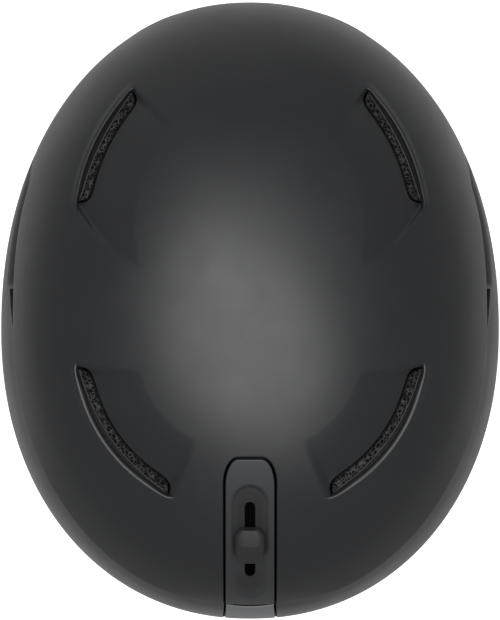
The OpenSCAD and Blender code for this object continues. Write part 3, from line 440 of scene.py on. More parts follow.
def windows(x, y):
    """Places in plan that the vent patches and the panel's frame cover, but for a lap along their edges."""
    reach = PANEL_GAP + FRAME_W - SIDE_LAP
    found = (np.abs(x) < PANEL_HALF_W + reach) & (y < panel_edge(x, reach))
    for _, vent in VENTS:
        t, inward = vent.along_and_inward(x, y)
        found |= ((t > END_LAP - vent.reach[0]) & (t < 1.0 + vent.reach[1] - END_LAP)
                  & (inward > SIDE_LAP - PATCH_OUT) & (inward < vent.width + PATCH_IN - SIDE_LAP))
    return found


def panel_edge(x, grow):
    """Plan y of the rear panel's top edge: flat in the middle with large round corners."""
    t = np.clip((np.abs(x) - PANEL_FLAT) / (PANEL_HALF_W + grow - PANEL_FLAT), 0.0, 1.0)
    return PANEL_TOP_Y + grow - PANEL_CORNER * (1.0 - np.sqrt(1.0 - t * t))


def y_at(x, z):
    """Plan y at which the back of the helmet over x is at the height z."""
    r = ring_radius(ring_of(np.asarray(z, float)))
    return WIDEST_Y - REAR_LEN * (r ** PLAN_EXP - (np.abs(x) / HALF_W) ** PLAN_EXP) ** (1.0 / PLAN_EXP)


def panel_outline(count, grow):
    """Places in plan along the panel's edge, from the seam up one side, across and down the other.
    Each has its outward direction."""
    half = PANEL_HALF_W + grow
    x = half * np.sin(arc(-90.0, 90.0, 401))
    top = np.stack([x, panel_edge(x, grow)], -1)
    low = y_at(half, SEAM_REAR + SEAT_GAP)
    side = np.linspace(low, top[0, 1], 200)[:-1]
    left = np.stack([np.full_like(side, -half), side], -1)
    path = np.concatenate([left, top, (left * [-1.0, 1.0])[::-1]])
    run = run_of(path)
    at = np.linspace(0.0, run[-1], count)
    spot = np.stack([np.interp(at, run, path[:, 0]), np.interp(at, run, path[:, 1])], -1)
    along = np.gradient(spot, axis=0)
    out = np.stack([-along[:, 1], along[:, 0]], -1)
    return spot, out / np.linalg.norm(out, axis=1, keepdims=True)


def upper_shell_dome():
    """Dome from the crown down to the seam, its edge rounded over, and back up inside, where it lies
    deeper than the vents' wells."""
    a = np.arange(480) * 0.75
    seam = seam_height(a)
    edge = ring_of(seam + np.where(seam > rim_height(a) + 0.5, SEAM_LINE, 0.0))
    low = edge + EDGE_ROUND * DEG_PER_MM
    outer = [sunk(base_point(a, mix(90.0, low, v)),
                  -crease(a, mix(90.0 - low, 0.0, v) / DEG_PER_MM, CREASE_UP))
             for v in np.linspace(0.0, 1.0, 121)[1:]]
    lip = [sunk(base_point(a, low - EDGE_ROUND * DEG_PER_MM * np.sin(q)),
                EDGE_ROUND * (1.0 - np.cos(q)) - crease(a, 0.0, CREASE_UP))
           for q in arc(0.0, 90.0, 6)[1:]]
    inner = [sunk(base_point(a, mix(90.0, edge, v)), mix(INSIDE_DEPTH, SHELL_T, v ** 6))
             for v in np.linspace(1.0, 0.0, 13)[:-1]]
    crown = base_point(90.0, 90.0)
    dome = skin("upper_shell_dome", np.stack(outer + lip + inner),
                apex=[crown, crown - [0.0, 0.0, INSIDE_DEPTH]])
    without(dome, windows(*face_centres(dome).T[:2]))
    return dome


def vent_patch(name, vent, side):
    """Surface along a vent, by share of the way and distance inside the ridge: a rounded lip at the
    ridge, the groove that falls to the mesh, the mesh's well, and the dish that rises to the crown."""
    t = np.concatenate([np.linspace(-vent.reach[0], 0.0, 26)[:-1], eased(90),
                        np.linspace(1.0, 1.0 + vent.reach[1], 60)[1:]])[:, None]
    outer, inner = vent.mesh_edges(t)
    turn = arc(0.0, 90.0, 14)
    before = np.concatenate([np.linspace(-PATCH_OUT, LIP_FOOT, 6), np.linspace(LIP_FOOT, LIP_EDGE, 9)[1:-1]])
    lip_round = np.minimum(vent.lip, outer - LIP_EDGE - LIP_ROOM)
    crest = np.concatenate([np.broadcast_to(before, (len(t), len(before))),
                            LIP_EDGE + lip_round * np.sin(turn)], axis=1)
    flat = mix(crest[:, -1:], outer, np.linspace(0.0, 1.0, 10)[1:])
    lip = np.concatenate([crest, flat], axis=1)
    well = mix(outer + WALL, inner - WALL, np.linspace(0.0, 1.0, WELL_ROWS))
    slope = mix(inner, np.full_like(t, PATCH_IN + vent.width), np.linspace(0.0, 1.0, 50) ** DISH_POWER)
    inward = np.concatenate([lip, well, slope], axis=1)
    open_share = smooth(*WELL_OPENS, 0.5 * (inner - outer))
    share = vent.dish_share(t, inward)
    wall = np.concatenate([np.zeros(len(before)), 1.0 - np.cos(turn), np.ones(flat.shape[1])])
    groove = GROOVE_DEPTH * wall * smooth(0.0, GROOVE_ENDS, t) * smooth(0.0, GROOVE_ENDS, 1.0 - t)
    far = np.clip(1.0 - (slope - vent.width) / DISH_W, 0.0, 1.0)
    dish = DISH_DEPTH * far ** DISH_POWER * share[:, -slope.shape[1]:]
    groove = np.maximum(groove, DISH_DEPTH * share[:, :lip.shape[1]] * wall)
    well_depth = np.maximum(groove[:, -1:], dish[:, :1]) + (WELL - GROOVE_DEPTH) * open_share
    bead = (np.clip(1.0 - ((inward - LIP_MID) / LIP_HALF) ** 2, 0.0, 1.0) ** LIP_POWER
            * smooth(*LIP_FADE, t) * smooth(*LIP_FADE, 1.0 - t))
    depth = np.concatenate([groove, well_depth + np.zeros_like(well), dish], axis=1)
    points = dropped(over(*vent.place(t, inward), -LIP_H * bead - PROUD), depth)
    patch = sheet(name, mirrored(points, side), 50.0)
    along, across = np.divmod(np.arange(len(patch.data.polygons)), points.shape[1] - 1)
    in_vent = (t[along, 0] > SHADE_PAINT_ENDS) & (t[along + 1, 0] < 1.0 - SHADE_PAINT_ENDS)
    past_lip = across - lip.shape[1]
    # Painted shade: the groove's rows by the lip get the darker, rougher groove black, and the well under the mesh
    # gets the shade black
    paint(patch, in_vent & (across >= crest.shape[1] - GROOVE_SHADE_ROWS) & (past_lip < 0), 2)
    paint(patch, in_vent & (past_lip >= 0) & (past_lip < WELL_ROWS), 1)
    return patch


def panel_frame():
    """Edge of the upper shell round the rear panel: rows across a rounded edge, down to the wall's foot
    and out over the dome, carried along the panel's outline."""
    spot, out = panel_outline(240, PANEL_GAP)
    turn = arc(0.0, 90.0, 5)
    offset = np.concatenate([[-FRAME_FOOT, 0.0, 0.0], FRAME_ROUND * (1.0 - np.cos(turn)),
                             np.linspace(FRAME_ROUND, FRAME_W, 12)[1:]])
    depth = np.concatenate([[FRAME_DEPTH, FRAME_DEPTH, SHELL_T], FRAME_ROUND * (1.0 - np.sin(turn[:-1])),
                            np.full(12, -PROUD)])
    place = spot[:, None] + out[:, None] * offset[:, None]
    low = y_at(place[..., 0], SEAM_REAR + SEAT_GAP)
    points = over(place[..., 0], np.maximum(place[..., 1], low), depth)
    frame_piece = sheet("upper_shell_frame", points, 35.0)
    # Painted shade: the frame's wall down into the gap round the panel gets the shade black
    paint(frame_piece, np.arange(len(frame_piece.data.polygons)) % (points.shape[1] - 1) < 2, 1)
    return frame_piece


# Lower shell, rear panel, knob, clip, vent meshes and edge trim
def scoop(b, drop):
    """Depth of the ledge at the temples, by degrees from the side towards the back and drop below the seam."""
    return (SCOOP_DEPTH * smooth(-BAND_END, SCOOP_FULL, b) * (1.0 - smooth(-NOTCH_END - SCOOP_FADE, -NOTCH_END, b))
            * (1.0 - smooth(0.0, SCOOP_TALL, drop)))


def lower_shell():
    """Band from the seam to the rim, carried round by azimuth, its upper edge a little inside the upper
    shell's, with the side notches and the opening for the goggle clip."""
    step, clip_at = 0.05, 90.0 - CLIP_HALF_DEG
    side = np.concatenate([np.linspace(-BAND_END, -NOTCH_END - step, 90),
                           np.linspace(-NOTCH_END + step, -step, 14), np.linspace(step, clip_at - step, 190),
                           np.linspace(clip_at + step, 180.0 - clip_at - step, 14)])
    b = np.concatenate([side, 180.0 - side[::-1][14:]])
    off = np.where(b > 90.0, 180.0 - b, b)
    notch = np.where((off < 0.0) & (off > -NOTCH_END), NOTCH_DEPTH * -off / NOTCH_END, 0.0)
    at_clip = off > clip_at
    top = np.where(at_clip, CLIP_Z, seam_height(-b) - SEAM_LINE - notch)
    rim = rim_height(-b)
    below = CLIP_Z - 0.5
    below = np.where(at_clip, below, np.minimum(below, mix(top - BAND_ROUND, rim, BAND_SPLIT)))
    rows = [(top - BAND_ROUND * (1.0 - np.cos(q)), BAND_ROUND * (1.0 - np.sin(q))) for q in arc(0.0, 90.0, 6)]
    rows += [(mix(top - BAND_ROUND, below, v), 0.0) for v in np.linspace(0.0, 1.0, 50)[1:] ** BAND_CLOSER]
    rows += [(mix(below, rim, v), 0.0) for v in np.linspace(0.0, 1.0, 30)[1:]]
    inset = np.where(at_clip, 0.0, BAND_INSET)
    rows = [(z, d + inset * (1.0 - smooth(0.0, BAND_EASE, top - z)) - crease(-b, top - z, CREASE_DOWN))
            for z, d in rows]
    rows += [(mix(top, rim, v), SHELL_T) for v in np.linspace(1.0, 0.0, 10)]
    rings = [sunk(base_point(-b, ring_of(z)), d + scoop(off, top - z)) for z, d in rows]
    return skin("lower_shell_band", np.stack(rings, axis=1))


def stadium(x, y, half, ends):
    """Distance inside a slot with round ends between two places along Y, negative outside it."""
    near = np.clip(y, ends[1] + half, ends[0] - half)
    return half - np.hypot(x, y - near)


def to_arc(p, r):
    """Points moved to the radius r about the slider's crosswise axis."""
    flat = p[..., 1:] - SLIDER_AXIS
    flat = flat * (r / np.linalg.norm(flat, axis=-1, keepdims=True))
    return np.concatenate([p[..., :1], SLIDER_AXIS + flat], -1)


def rear_panel():
    """Panel over the plan between its edge and the seam, with rounded edges. It sinks to the slider's
    arc in the recess and falls away in the slot. The attribute recess_shade is 1 in the upper part of the
    recess and small in the lower part, but for its very end."""
    x = PANEL_HALF_W * np.sin(arc(-90.0, 90.0, 120))
    v = np.concatenate([np.linspace(0.0, 0.03, 12)[:-1], np.linspace(0.03, 0.985, 250),
                        np.linspace(0.985, 1.0, 8)[1:]])
    top, low = panel_edge(x, 0.0)[:, None], y_at(x, SEAM_REAR + SEAT_GAP)[:, None]
    lean = np.arctan(np.abs(np.gradient(top[:, 0], x)))[:, None]
    y = mix(top, low, v)
    x = np.broadcast_to(x[:, None], y.shape)
    inside = np.minimum(np.minimum(PANEL_HALF_W - np.abs(x), (top - y) * np.cos(lean)), y - low)
    face = over(x, y, round_over(inside, PANEL_ROUND))
    reach = np.linalg.norm(face[..., 1:] - SLIDER_AXIS, axis=-1)
    in_recess = stadium(x, y, RECESS_HALF, RECESS_ENDS)
    slot = smooth(*SLOT_EDGE, stadium(x, y, SLOT_HALF, SLOT_ENDS))
    depth = smooth(*HOLLOW_EDGE, in_recess) * np.clip(reach - FLOOR_R, 0.0, None) + slot * SLOT_FALL
    face = to_arc(face, (reach - depth)[..., None])
    panel = plate("rear_panel_face", face, over(x, y, PANEL_T))
    # Painted shade: the slot's sunken faces get the shade black
    c = face_centres(panel)
    in_slot = stadium(c[:, 0], c[:, 1], SLOT_HALF, SLOT_ENDS) > -0.02
    paint(panel, in_slot & (np.linalg.norm(c[:, 1:] - SLIDER_AXIS, axis=1) < FLOOR_R - 0.4), 1)
    lower = smooth(*SHADE_FADE, y)
    heel = bell(np.hypot(x / HEEL_HALF[0], (y - HEEL_Y) / HEEL_HALF[1]), 0.0, 1.0, 4)
    shade = smooth(*SHADE_EDGE, in_recess) * (1.0 - 0.85 * lower + 0.45 * heel)
    shade = np.concatenate([shade, np.zeros_like(shade)], axis=1)
    panel.data.attributes.new("recess_shade", "FLOAT", "POINT").data.foreach_set(
        "value", np.clip(shade, 0.0, 1.0).astype(np.float32).ravel())
    return panel


def vent_knob():
    """Thumb wedge on the slider's arc: sections across it, rounded on top, rise from a narrow toe to the
    crest and end in a round heel."""
    s = np.concatenate([[0.0], np.linspace(0.01, 0.99, 60), [1.0]])
    nose = np.sin(np.pi / 2.0 * np.clip(s / KNOB_NOSE, 0.0, 1.0))
    heel = np.sqrt(1.0 - np.clip((s - KNOB_HEEL[0]) / KNOB_HEEL[1], 0.0, 1.0) ** 2.2)
    wide = KNOB_HALF * mix(NOSE_WIDE, 1.0, nose) * mix(HEEL_WIDE, 1.0, heel)
    back = np.sqrt(1.0 - np.clip((s - KNOB_BACK[0]) / KNOB_BACK[1], 0.0, 1.0) ** 2)
    tall = mix(KNOB_TOE, KNOB_H, np.clip(s / KNOB_RISE, 0.0, 1.0)) * mix(BACK_TALL, 1.0, back)
    a = arc(0.0, 180.0, 40)
    up = np.sin(a) ** 0.5
    crest = mix(*CREST_WIDE, smooth(0.0, 0.35, s))[:, None]
    x = wide[:, None] * signed_power(np.cos(a), 0.45) * mix(1.0, crest, up)
    r = FLOOR_R + RUN_GAP + tall[:, None] * up
    angle = (np.radians(KNOB_DEG) + KNOB_LEN * (0.5 - s) / FLOOR_R)[:, None]
    rings = joined(x, SLIDER_AXIS[0] - r * np.cos(angle), SLIDER_AXIS[1] + r * np.sin(angle))
    return skin("vent_knob_wedge", rings, sharp_deg=40.0)


def vent_mesh(name, vent, side):
    """Mesh panel in a vent's well, by share of the way and of the width, with a fine rim bead along
    its outer edge and a shallow crown."""
    t = eased(150)[:, None]
    outer, inner = vent.mesh_edges(t)
    v = np.linspace(0.0, 1.0, 24)
    inward = mix(outer + MESH_GAP, inner - MESH_GAP, v)
    rim = bell(inward, outer + RIM_BEAD_IN, RIM_BEAD_HALF)
    depth = MESH_DEPTH - RIM_BEAD_H * rim - MESH_CROWN * np.sin(np.pi * v) + MESH_FALL * v ** 2
    spot = vent.place(mix(MESH_ENDS, 1.0 - MESH_ENDS, t), inward)
    face, back = (mirrored(dropped(over(*spot, 0.0), d), side) for d in (depth, depth + MESH_T))
    uv = joined(t * vent.radius * abs(vent.stop - vent.start), v)
    uv = np.concatenate([uv, uv[:, ::-1]], axis=1).reshape(-1, 2)
    return plate(name, face, back, uv=uv)


def goggle_clip():
    """Clip plate on the helmet's surface below the panel: its top edge dips in the middle, its edges are
    rounded, and it is thin at its top corners, where it covers the lugs."""
    reach, step = CLIP_HALF_DEG - CLIP_GAP_DEG, 0.02
    corner = np.linspace(BARREL_DEG + step, reach, 14)
    off = np.concatenate([-corner[::-1], np.linspace(step - BARREL_DEG, BARREL_DEG - step, 40), corner])[:, None]
    away = off / reach
    top = CLIP_TOP - CLIP_DIP * (1.0 - away ** 2)
    z = mix(top, CLIP_FOOT, np.linspace(0.0, 1.0, 90) ** 1.3)
    inside = np.minimum((1.0 - np.abs(away)) * reach * 2.2, np.minimum(3.0 * (top - z), z - z[:, -1:]))
    thin = np.where((np.abs(off) > BARREL_DEG) & (z > LUG_LOW), LUG_COVER, SHELL_T)
    base = base_point(270.0 + off, ring_of(z))
    clip = plate("goggle_clip_plate", sunk(base, round_over(inside, CLIP_ROUND)), sunk(base, thin))
    # Painted shade: the cap along the clip's top edge gets the shade black, a dark gap at the hinge
    around = 2 * z.shape[1]
    paint(clip, np.arange(len(clip.data.polygons)) % around == around - 1, 1)
    return clip


def clip_base():
    """Back plate of the clip with two lugs: each lug's outline, round about the pin and tapered to the
    back plate, is carried across its width."""
    turn = arc(90.0, 270.0, 25)
    nose = np.stack([HINGE_Y + LUG_R * np.cos(turn), HINGE_Z + LUG_R * np.sin(turn)], -1)
    outline = np.concatenate([nose, joined(BASE_Y[0] + 0.5, np.array(LUG_ROOT))])
    middle = outline.mean(axis=0)
    ease = ((LUG_X[0], 0.9), (LUG_X[0] + LUG_EASE, 1.0), (LUG_X[1] - LUG_EASE, 1.0), (LUG_X[1], 0.9))
    pieces = []
    for name, side in SIDES:
        rings = np.stack([joined(side * x, *(middle + (outline - middle) * k).T) for x, k in ease])
        pieces.append(skin("clip_lug_%s" % name, rings, apex=[[side * x, *middle] for x in LUG_X]))
    place = np.array([0.0, 0.0, HINGE_Z + 2.0 - BACK_PLATE[1]])
    layers = ((BASE_Y[0], 0.97), (BASE_Y[0] + 0.3, 1.0), (BASE_Y[1] - 0.3, 1.0), (BASE_Y[1], 0.97))
    return pieces + [stacked("clip_back_plate", place, BACK_PLATE, 0.25, 48, layers)]


def edge_trim():
    """Soft trim, an angle section with rounded corners round the rim, outside the shell and under it, with
    a thicker tab at each front corner."""
    a = np.arange(720) * 0.5
    tab = smooth(9.0, 2.0, np.abs(np.where(a > 90.0, 180.0 - a, a) - TRIM_CORNER)) * (a < 180.0)
    thick = mix(TRIM_T, TRIM_CORNER_T, tab)
    head = [(thick / 2.0 * (np.cos(q) - 1.0), TRIM_UP + TRIM_T / 2.0 * (np.sin(q) - 1.0))
            for q in arc(0.0, 180.0, 8)]
    low = -SEAT_GAP - TRIM_LOW
    foot = [(-thick, low + 0.8), (-thick + 0.25, low + 0.25), (-thick + 0.8, low), (TRIM_UNDER - 0.6, low),
            (TRIM_UNDER, low + 0.6), (TRIM_UNDER, -SEAT_GAP), (0.0, -SEAT_GAP)]
    rows = [sunk(base_point(a, ring_of(rim_height(a) + up)), d) for d, up in head + foot]
    return skin("edge_trim_bead", np.stack(rows, axis=1), loop=True)


# Foam, pads, fit system, buckle and straps
def applied(piece, sharp_deg):
    """Makes the piece's modifiers its own mesh, smooth up to an angle."""
    graph = bpy.context.evaluated_depsgraph_get()
    mesh = bpy.data.meshes.new_from_object(piece.evaluated_get(graph))
    piece.modifiers.clear()
    old = piece.data
    piece.data = mesh
    bpy.data.meshes.remove(old)
    mesh.name = piece.name
    mesh.polygons.foreach_set("use_smooth", np.ones(len(mesh.polygons), bool))
    mesh.set_sharp_from_angle(angle=math.radians(sharp_deg))


def boolean_cut(piece, cutters):
    """Cuts the cutters out of a piece and takes them away."""
    for cutter in cutters:
        cut = piece.modifiers.new("cut", "BOOLEAN")
        cut.operation = "DIFFERENCE"
        cut.solver = "EXACT"
        cut.object = cutter
    applied(piece, 35.0)
    for cutter in cutters:
        bpy.data.objects.remove(cutter)


def places(mesh):
    """The mesh's points as rows, in mm."""
    flat = np.empty(3 * len(mesh.vertices))
    mesh.vertices.foreach_get("co", flat)
    return flat.reshape(-1, 3) / MM


def plumped(piece):
    """Swells a closed cushion as cloth: remeshed, blown up for some frames without weight, no point
    moved further than the cap, and smoothed by subdivision."""
    remesh = piece.modifiers.new("remesh", "REMESH")
    remesh.mode, remesh.voxel_size = "VOXEL", CLOTH_VOXEL * MM
    applied(piece, 180.0)
    rest = places(piece.data)
    cloth = piece.modifiers.new("cloth", "CLOTH")
    cloth.settings.use_pressure = True
    cloth.settings.uniform_pressure_force = CLOTH_PRESSURE
    cloth.settings.effector_weights.gravity = 0.0
    cloth.point_cache.frame_start, cloth.point_cache.frame_end = 1, CLOTH_FRAMES
    for moment in range(1, CLOTH_FRAMES + 1):
        bpy.context.scene.frame_set(moment)
    swollen = piece.evaluated_get(bpy.context.evaluated_depsgraph_get())
    move = places(swollen.data) - rest
    piece.modifiers.clear()
    bpy.context.scene.frame_set(1)
    far = np.linalg.norm(move, axis=1, keepdims=True)
    rest = rest + move * np.minimum(1.0, CLOTH_CAP / np.maximum(far, 1e-6))
    piece.data.vertices.foreach_set("co", (rest * MM).ravel())
    finer = piece.modifiers.new("finer", "SUBSURF")
    finer.levels = finer.render_levels = 2
    applied(piece, 180.0)


def air_channel(vent, side):
    """Cutter along a vent, from the mesh's edges straight in through the foam."""
    t = np.linspace(0.02, 0.98, 40)
    outer, inner = vent.mesh_edges(t)
    near, far = CHANNEL_DEPTHS
    rings = [over(*vent.place(t, inward), d)
             for inward, d in ((outer, near), (inner, near), (inner, far), (outer, far))]
    return skin("air_channel", mirrored(np.stack(rings, axis=1), side))


def foam_liner():
    """Foam dome between its inner face and a face under the shells, with a rounded foot at the rim and
    the four air channels cut through it."""
    a = np.arange(240) * 1.5
    rim = ring_of(rim_height(a))
    outside = [sunk(base_point(a, mix(90.0, rim, v)), mix(FOAM_SUNK, FOAM_OUT + 0.4, smooth(0.75, 1.0, v)))
               for v in np.linspace(0.0, 1.0, 41)[1:]]
    low = ring_of(rim_height(a) + FOOT_ROUND)
    foot = [foam_inside(a, mix(rim, low, 1.0 - np.cos(q)), FOOT_ROUND * (np.sin(q) - 1.0))
            for q in arc(0.0, 90.0, 7)[1:]]
    inside = [foam_inside(a, mix(90.0, low, v), 0.0) for v in np.linspace(1.0, 0.0, 61)[1:-1]]
    foam = skin("foam_dome", np.stack(outside + foot + inside),
                apex=[sunk(base_point(90.0, 90.0), FOAM_SUNK), foam_inside(90.0, 90.0, 0.0)])
    boolean_cut(foam, [air_channel(vent, side) for _, vent in VENTS for _, side in SIDES])
    return foam


def crown_of(u, hard):
    """Puffed cross-section: 0 at both edges and 1 over most of the width."""
    return np.sqrt(np.clip(1.0 - np.abs(2.0 * u - 1.0) ** hard, 0.0, 1.0))


def liner_pad(name, azimuth, angle, channels, side=1.0):
    """Pad on the foam's inner face over a span of azimuth and angle: its edges pull in between the
    corners, it is crowned, and sewn channels cross it with a stitch line beside the edge."""
    u, v = np.meshgrid(np.linspace(0.0, 1.0, 140), np.linspace(0.0, 1.0, 56), indexing="ij")
    from_mid, from_line = 2.0 * u - 1.0, 2.0 * v - 1.0
    a = mix(*azimuth, u) - 2.0 * PAD_PULL * (1.0 - from_line ** 2) * from_mid
    w = mix(*angle[::-1], v) + PAD_PULL * (1.0 - from_mid ** 2) * from_line
    sewn = np.min([np.abs(u - k / channels) for k in range(1, channels)], axis=0)
    edge = np.minimum(np.minimum(u, 1.0 - u) * abs(azimuth[1] - azimuth[0]) * 1.6,
                      np.minimum(v, 1.0 - v) * abs(angle[1] - angle[0]) * 1.4)
    puff = crown_of(u, 6.0) * crown_of(v, 4.0) * (1.0 - PAD_CHANNEL * bell(sewn, 0.0, PAD_CHANNEL_W))
    puff = puff * (1.0 - STITCH * bell(edge, STITCH_IN, STITCH_W))
    creep = 0.25 * np.sin(41.0 * u + 7.0 * v) * np.sin(23.0 * v + 3.0 * u) * puff
    thick = PAD_EDGE + (PAD_T - PAD_EDGE) * puff + creep
    face, back = (mirrored(foam_inside(a, w, PAD_GAP + d), side) for d in (thick, 0.0))
    return plate(name, face, back, sharp_deg=80.0)


def crown_pad():
    """Round pad under the crown: rings from its middle to its edge, with a sewn ring and four spokes."""
    a = np.arange(180) * 2.0
    v = np.linspace(0.0, 1.0, 41)[1:]
    w = mix(90.0, CROWN_PAD_W, v)
    spoke = bell((a + 45.0) % 90.0, 45.0, SPOKE_DEG)
    rings = []
    for share, angle in zip(v, w):
        puff = crown_of(0.5 + share / 2.0, 4.0) * (1.0 - CROWN_SEWN * bell(share, CROWN_RING, CROWN_RING_W))
        puff = puff * (1.0 - CROWN_SEWN * spoke * smooth(CROWN_RING, 0.46, share))
        rings.append(foam_inside(a, angle, PAD_GAP + PAD_EDGE + (PAD_T - PAD_EDGE) * puff))
    rings += [foam_inside(a, angle, PAD_GAP) for angle in w[::-1][::4]]
    ends = [foam_inside(90.0, 90.0, d) for d in (PAD_GAP + PAD_T, PAD_GAP)]
    return skin("crown_cushion", np.stack(rings), apex=ends, sharp_deg=80.0)


def ear_pad(name, side):
    """Ear cushion: rounded outlines stacked from the pocket for the ear, over a full rolled rim, to the
    back that lies on its plate. It is swelled as cloth, kept off its plate and the floor, and drawn in
    along the seam round its side and the stitches round its pocket."""
    a = full_turn(160)
    profile = np.array([[7.0, 0.05], [7.0, 0.3], [6.4, 0.38], [4.6, 0.46], [2.7, 0.53], [1.5, 0.6], [1.0, 0.68],
                        [1.3, 0.77], [2.3, 0.85], [4.2, 0.92], [6.6, 0.96], [9.0, 0.975], [12.0, 0.97],
                        [14.8, 0.955], [16.8, 0.925], [18.2, 0.89], [18.8, 0.84], [18.8, 0.05]])
    fine = np.linspace(0.0, len(profile) - 1.0, 90)
    x, s = (np.interp(fine, np.arange(len(profile)), column)[:, None] for column in profile.T)
    centre = np.array([EAR_Y, EAR_TOP / 2.0])
    half = np.array([EAR_LEN / 2.0, EAR_TOP / 2.0])
    y = centre[0] + half[0] * s * signed_power(np.cos(a), EAR_EXP)
    z = np.maximum(half[1] * (1.0 + s * signed_power(np.sin(a), EAR_EXP)), 0.0)
    ends = [[EAR_X + profile[k, 0], *centre] for k in (0, -1)]
    pad = skin(name, joined(EAR_X + x, y, z), apex=ends, sharp_deg=80.0)
    plumped(pad)
    p = places(pad.data)
    out = (p[:, 1:] - centre) / half
    share = (np.abs(out) ** (2.0 / EAR_EXP)).sum(axis=1) ** (EAR_EXP / 2.0)
    depth = p[:, 0] - EAR_X
    seam = bell(depth, EAR_SEAM, EAR_SEAM_W) * smooth(0.8, 0.9, share)
    stitched = bell(share, EAR_STITCH, EAR_STITCH_W) * smooth(12.0, 8.0, depth)
    far = np.maximum(np.linalg.norm(out, axis=1, keepdims=True), 1e-6)
    p[:, 1:] -= EAR_SEAM_IN * seam[:, None] * out / far
    p[:, 0] = np.minimum(p[:, 0] + EAR_STITCH_IN * stitched, EAR_X + EAR_BACK)
    p[:, 2] = np.maximum(p[:, 2], 0.0)
    pad.data.vertices.foreach_set("co", (mirrored(p, side) * MM).ravel())
    if side < 0.0:
        pad.data.flip_normals()
    return pad


def box_of(node):
    """Lowest and highest corner, middle and half size of a CAD node's box, in mm."""
    low, high = (np.array(corner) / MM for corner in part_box(node))
    return low, high, 0.5 * (low + high), 0.5 * (high - low)


def fit_case():
    """Case of the fit dial: a rounded oblong section, hollow where the band ends run through, carried
    across the nape and drawn in at both ends, with a hole for the dial's shaft."""
    low, _, middle, half = box_of("fit_housing")
    q = full_turn(120) + np.radians(1.5)
    edge = np.stack([half[1] * signed_power(np.cos(q), 0.4), half[2] * signed_power(np.sin(q), 0.16)], -1)
    tunnel = np.stack([(half[1] - CASE_WALL) * signed_power(np.cos(q), 0.02),
                       (half[2] - CASE_LEDGE) * signed_power(np.sin(q), 0.02)], -1)
    x = half[0] * np.sin(arc(-90.0, 90.0, 61))
    inset = round_over(half[0] - np.abs(x), CASE_ROUND)
    outer = edge * (1.0 - 0.8 * inset[:, None, None] / half[1:])
    section = np.concatenate([outer, np.broadcast_to(tunnel, outer.shape)])
    line = np.concatenate([x, x[::-1]])[:, None]
    case = skin("fit_dial_case", middle + joined(line, section[..., 0], section[..., 1]), loop=True)
    turn = full_turn(64)
    ends = np.array([low[1] - 2.0, middle[1]])[:, None]
    hole = joined(middle[0] + SHAFT_ROOM * np.cos(turn), ends, middle[2] + SHAFT_ROOM * np.sin(turn))
    boolean_cut(case, [skin("shaft_hole", hole)])
    return case


def band_paddle(name, side):
    """Rounded end plate of a band end, behind the arm that it draws: smaller at both faces, with a hollow
    pressed in its middle."""
    low, high = box_of("band_end_right")[:2]
    place = np.array([side * (high[0] - PADDLE_HALF[0] + 1.0), 0.0, FIT_Z])
    near, far = low[1], high[1]
    layers = ((near + 0.35, 0.3), (near + 0.3, 0.6), (near, 0.72), (near, 0.94), (near + 0.25, 1.0),
              (far - 0.25, 1.0), (far, 0.94))
    return stacked(name, place, PADDLE_HALF, 0.6, 72, layers)


def buckle_shell(name, span, waist):
    """Half of the buckle: a rounded section carried along the strap, drawn in at the waist for the
    fingers and rounded off at both ends."""
    low, _, middle, half = box_of("buckle_socket")
    s = eased(70)
    x = mix(*span, s)
    inset = round_over(np.minimum(x - span[0], span[1] - x), BUCKLE_ROUND)
    wide = half[1] * (1.0 - waist * bell(s, 0.5, 0.22, 4)) - inset
    tall = half[2] * (1.0 - 0.12 * bell(s, 0.5, 0.3)) - 0.7 * inset
    q = full_turn(64)
    y = middle[1] + wide[:, None] * signed_power(np.cos(q), 0.35)
    z = low[2] + tall[:, None] * (1.0 + signed_power(np.sin(q), 0.5))
    return skin(name, joined(x[:, None], y, z), apex=[[end, middle[1], middle[2]] for end in span])


def buckle_latch(name, side):
    """Spring latch of the tongue in the socket's waist: a ribbed pad for the finger."""
    _, _, middle, half = box_of("buckle_socket")
    s = np.linspace(0.0, 1.0, 90)
    swell = crown_of(s, 4)
    q = full_turn(40)
    ribs = 0.16 * np.cos(2.0 * np.pi * 7.0 * s) * swell
    y = 0.5 * half[1] + (0.46 * half[1] * swell + ribs)[:, None] * signed_power(np.cos(q), 0.5)
    z = middle[2] + (0.5 * half[2] * swell)[:, None] * signed_power(np.sin(q), 0.6)
    x = mix(middle[0] - 7.0, middle[0] + 7.0, s)[:, None]
    return skin(name, joined(x, middle[1] + side * y, z))


def ribbon(name, path, across, width):
    """Webbing: a flat section with rounded selvedges, carried along a path of points."""
    along = np.gradient(path, axis=0)
    along /= np.linalg.norm(along, axis=1, keepdims=True)
    up = np.cross(along, across)
    a = full_turn(28) + np.radians(6.0)
    flat, rise = signed_power(np.cos(a), 0.35), signed_power(np.sin(a), 0.7)
    rings = (path[:, None] + (across * width[:, None] / 2.0)[:, None] * flat[:, None]
             + up[:, None] * (rise * WEB_T / 2.0)[:, None])
    uv = joined(run_of(path)[:, None], flat * width.max() / 2.0).reshape(-1, 2)
    return skin(name, rings, uv=uv, sharp_deg=50.0)


def strap_leg(name, foot, head, side):
    """One leg of a side strap, straight from the divider to past its rivet, with a clipped end."""
    far = np.linalg.norm(head - foot)
    d = (head - foot) / far
    s = np.linspace(0.0, far + LEG_PAST, 60)
    path = joined(side * (WEB_X + WEB_T / 2.0), *(foot + d * s[:, None]).T)
    across = np.broadcast_to(np.array([0.0, -d[1], d[0]]), path.shape)
    return ribbon(name, path, across, LEG_W * (1.0 - 0.3 * smooth(s[-1] - LEG_CLIP, s[-1], s)))


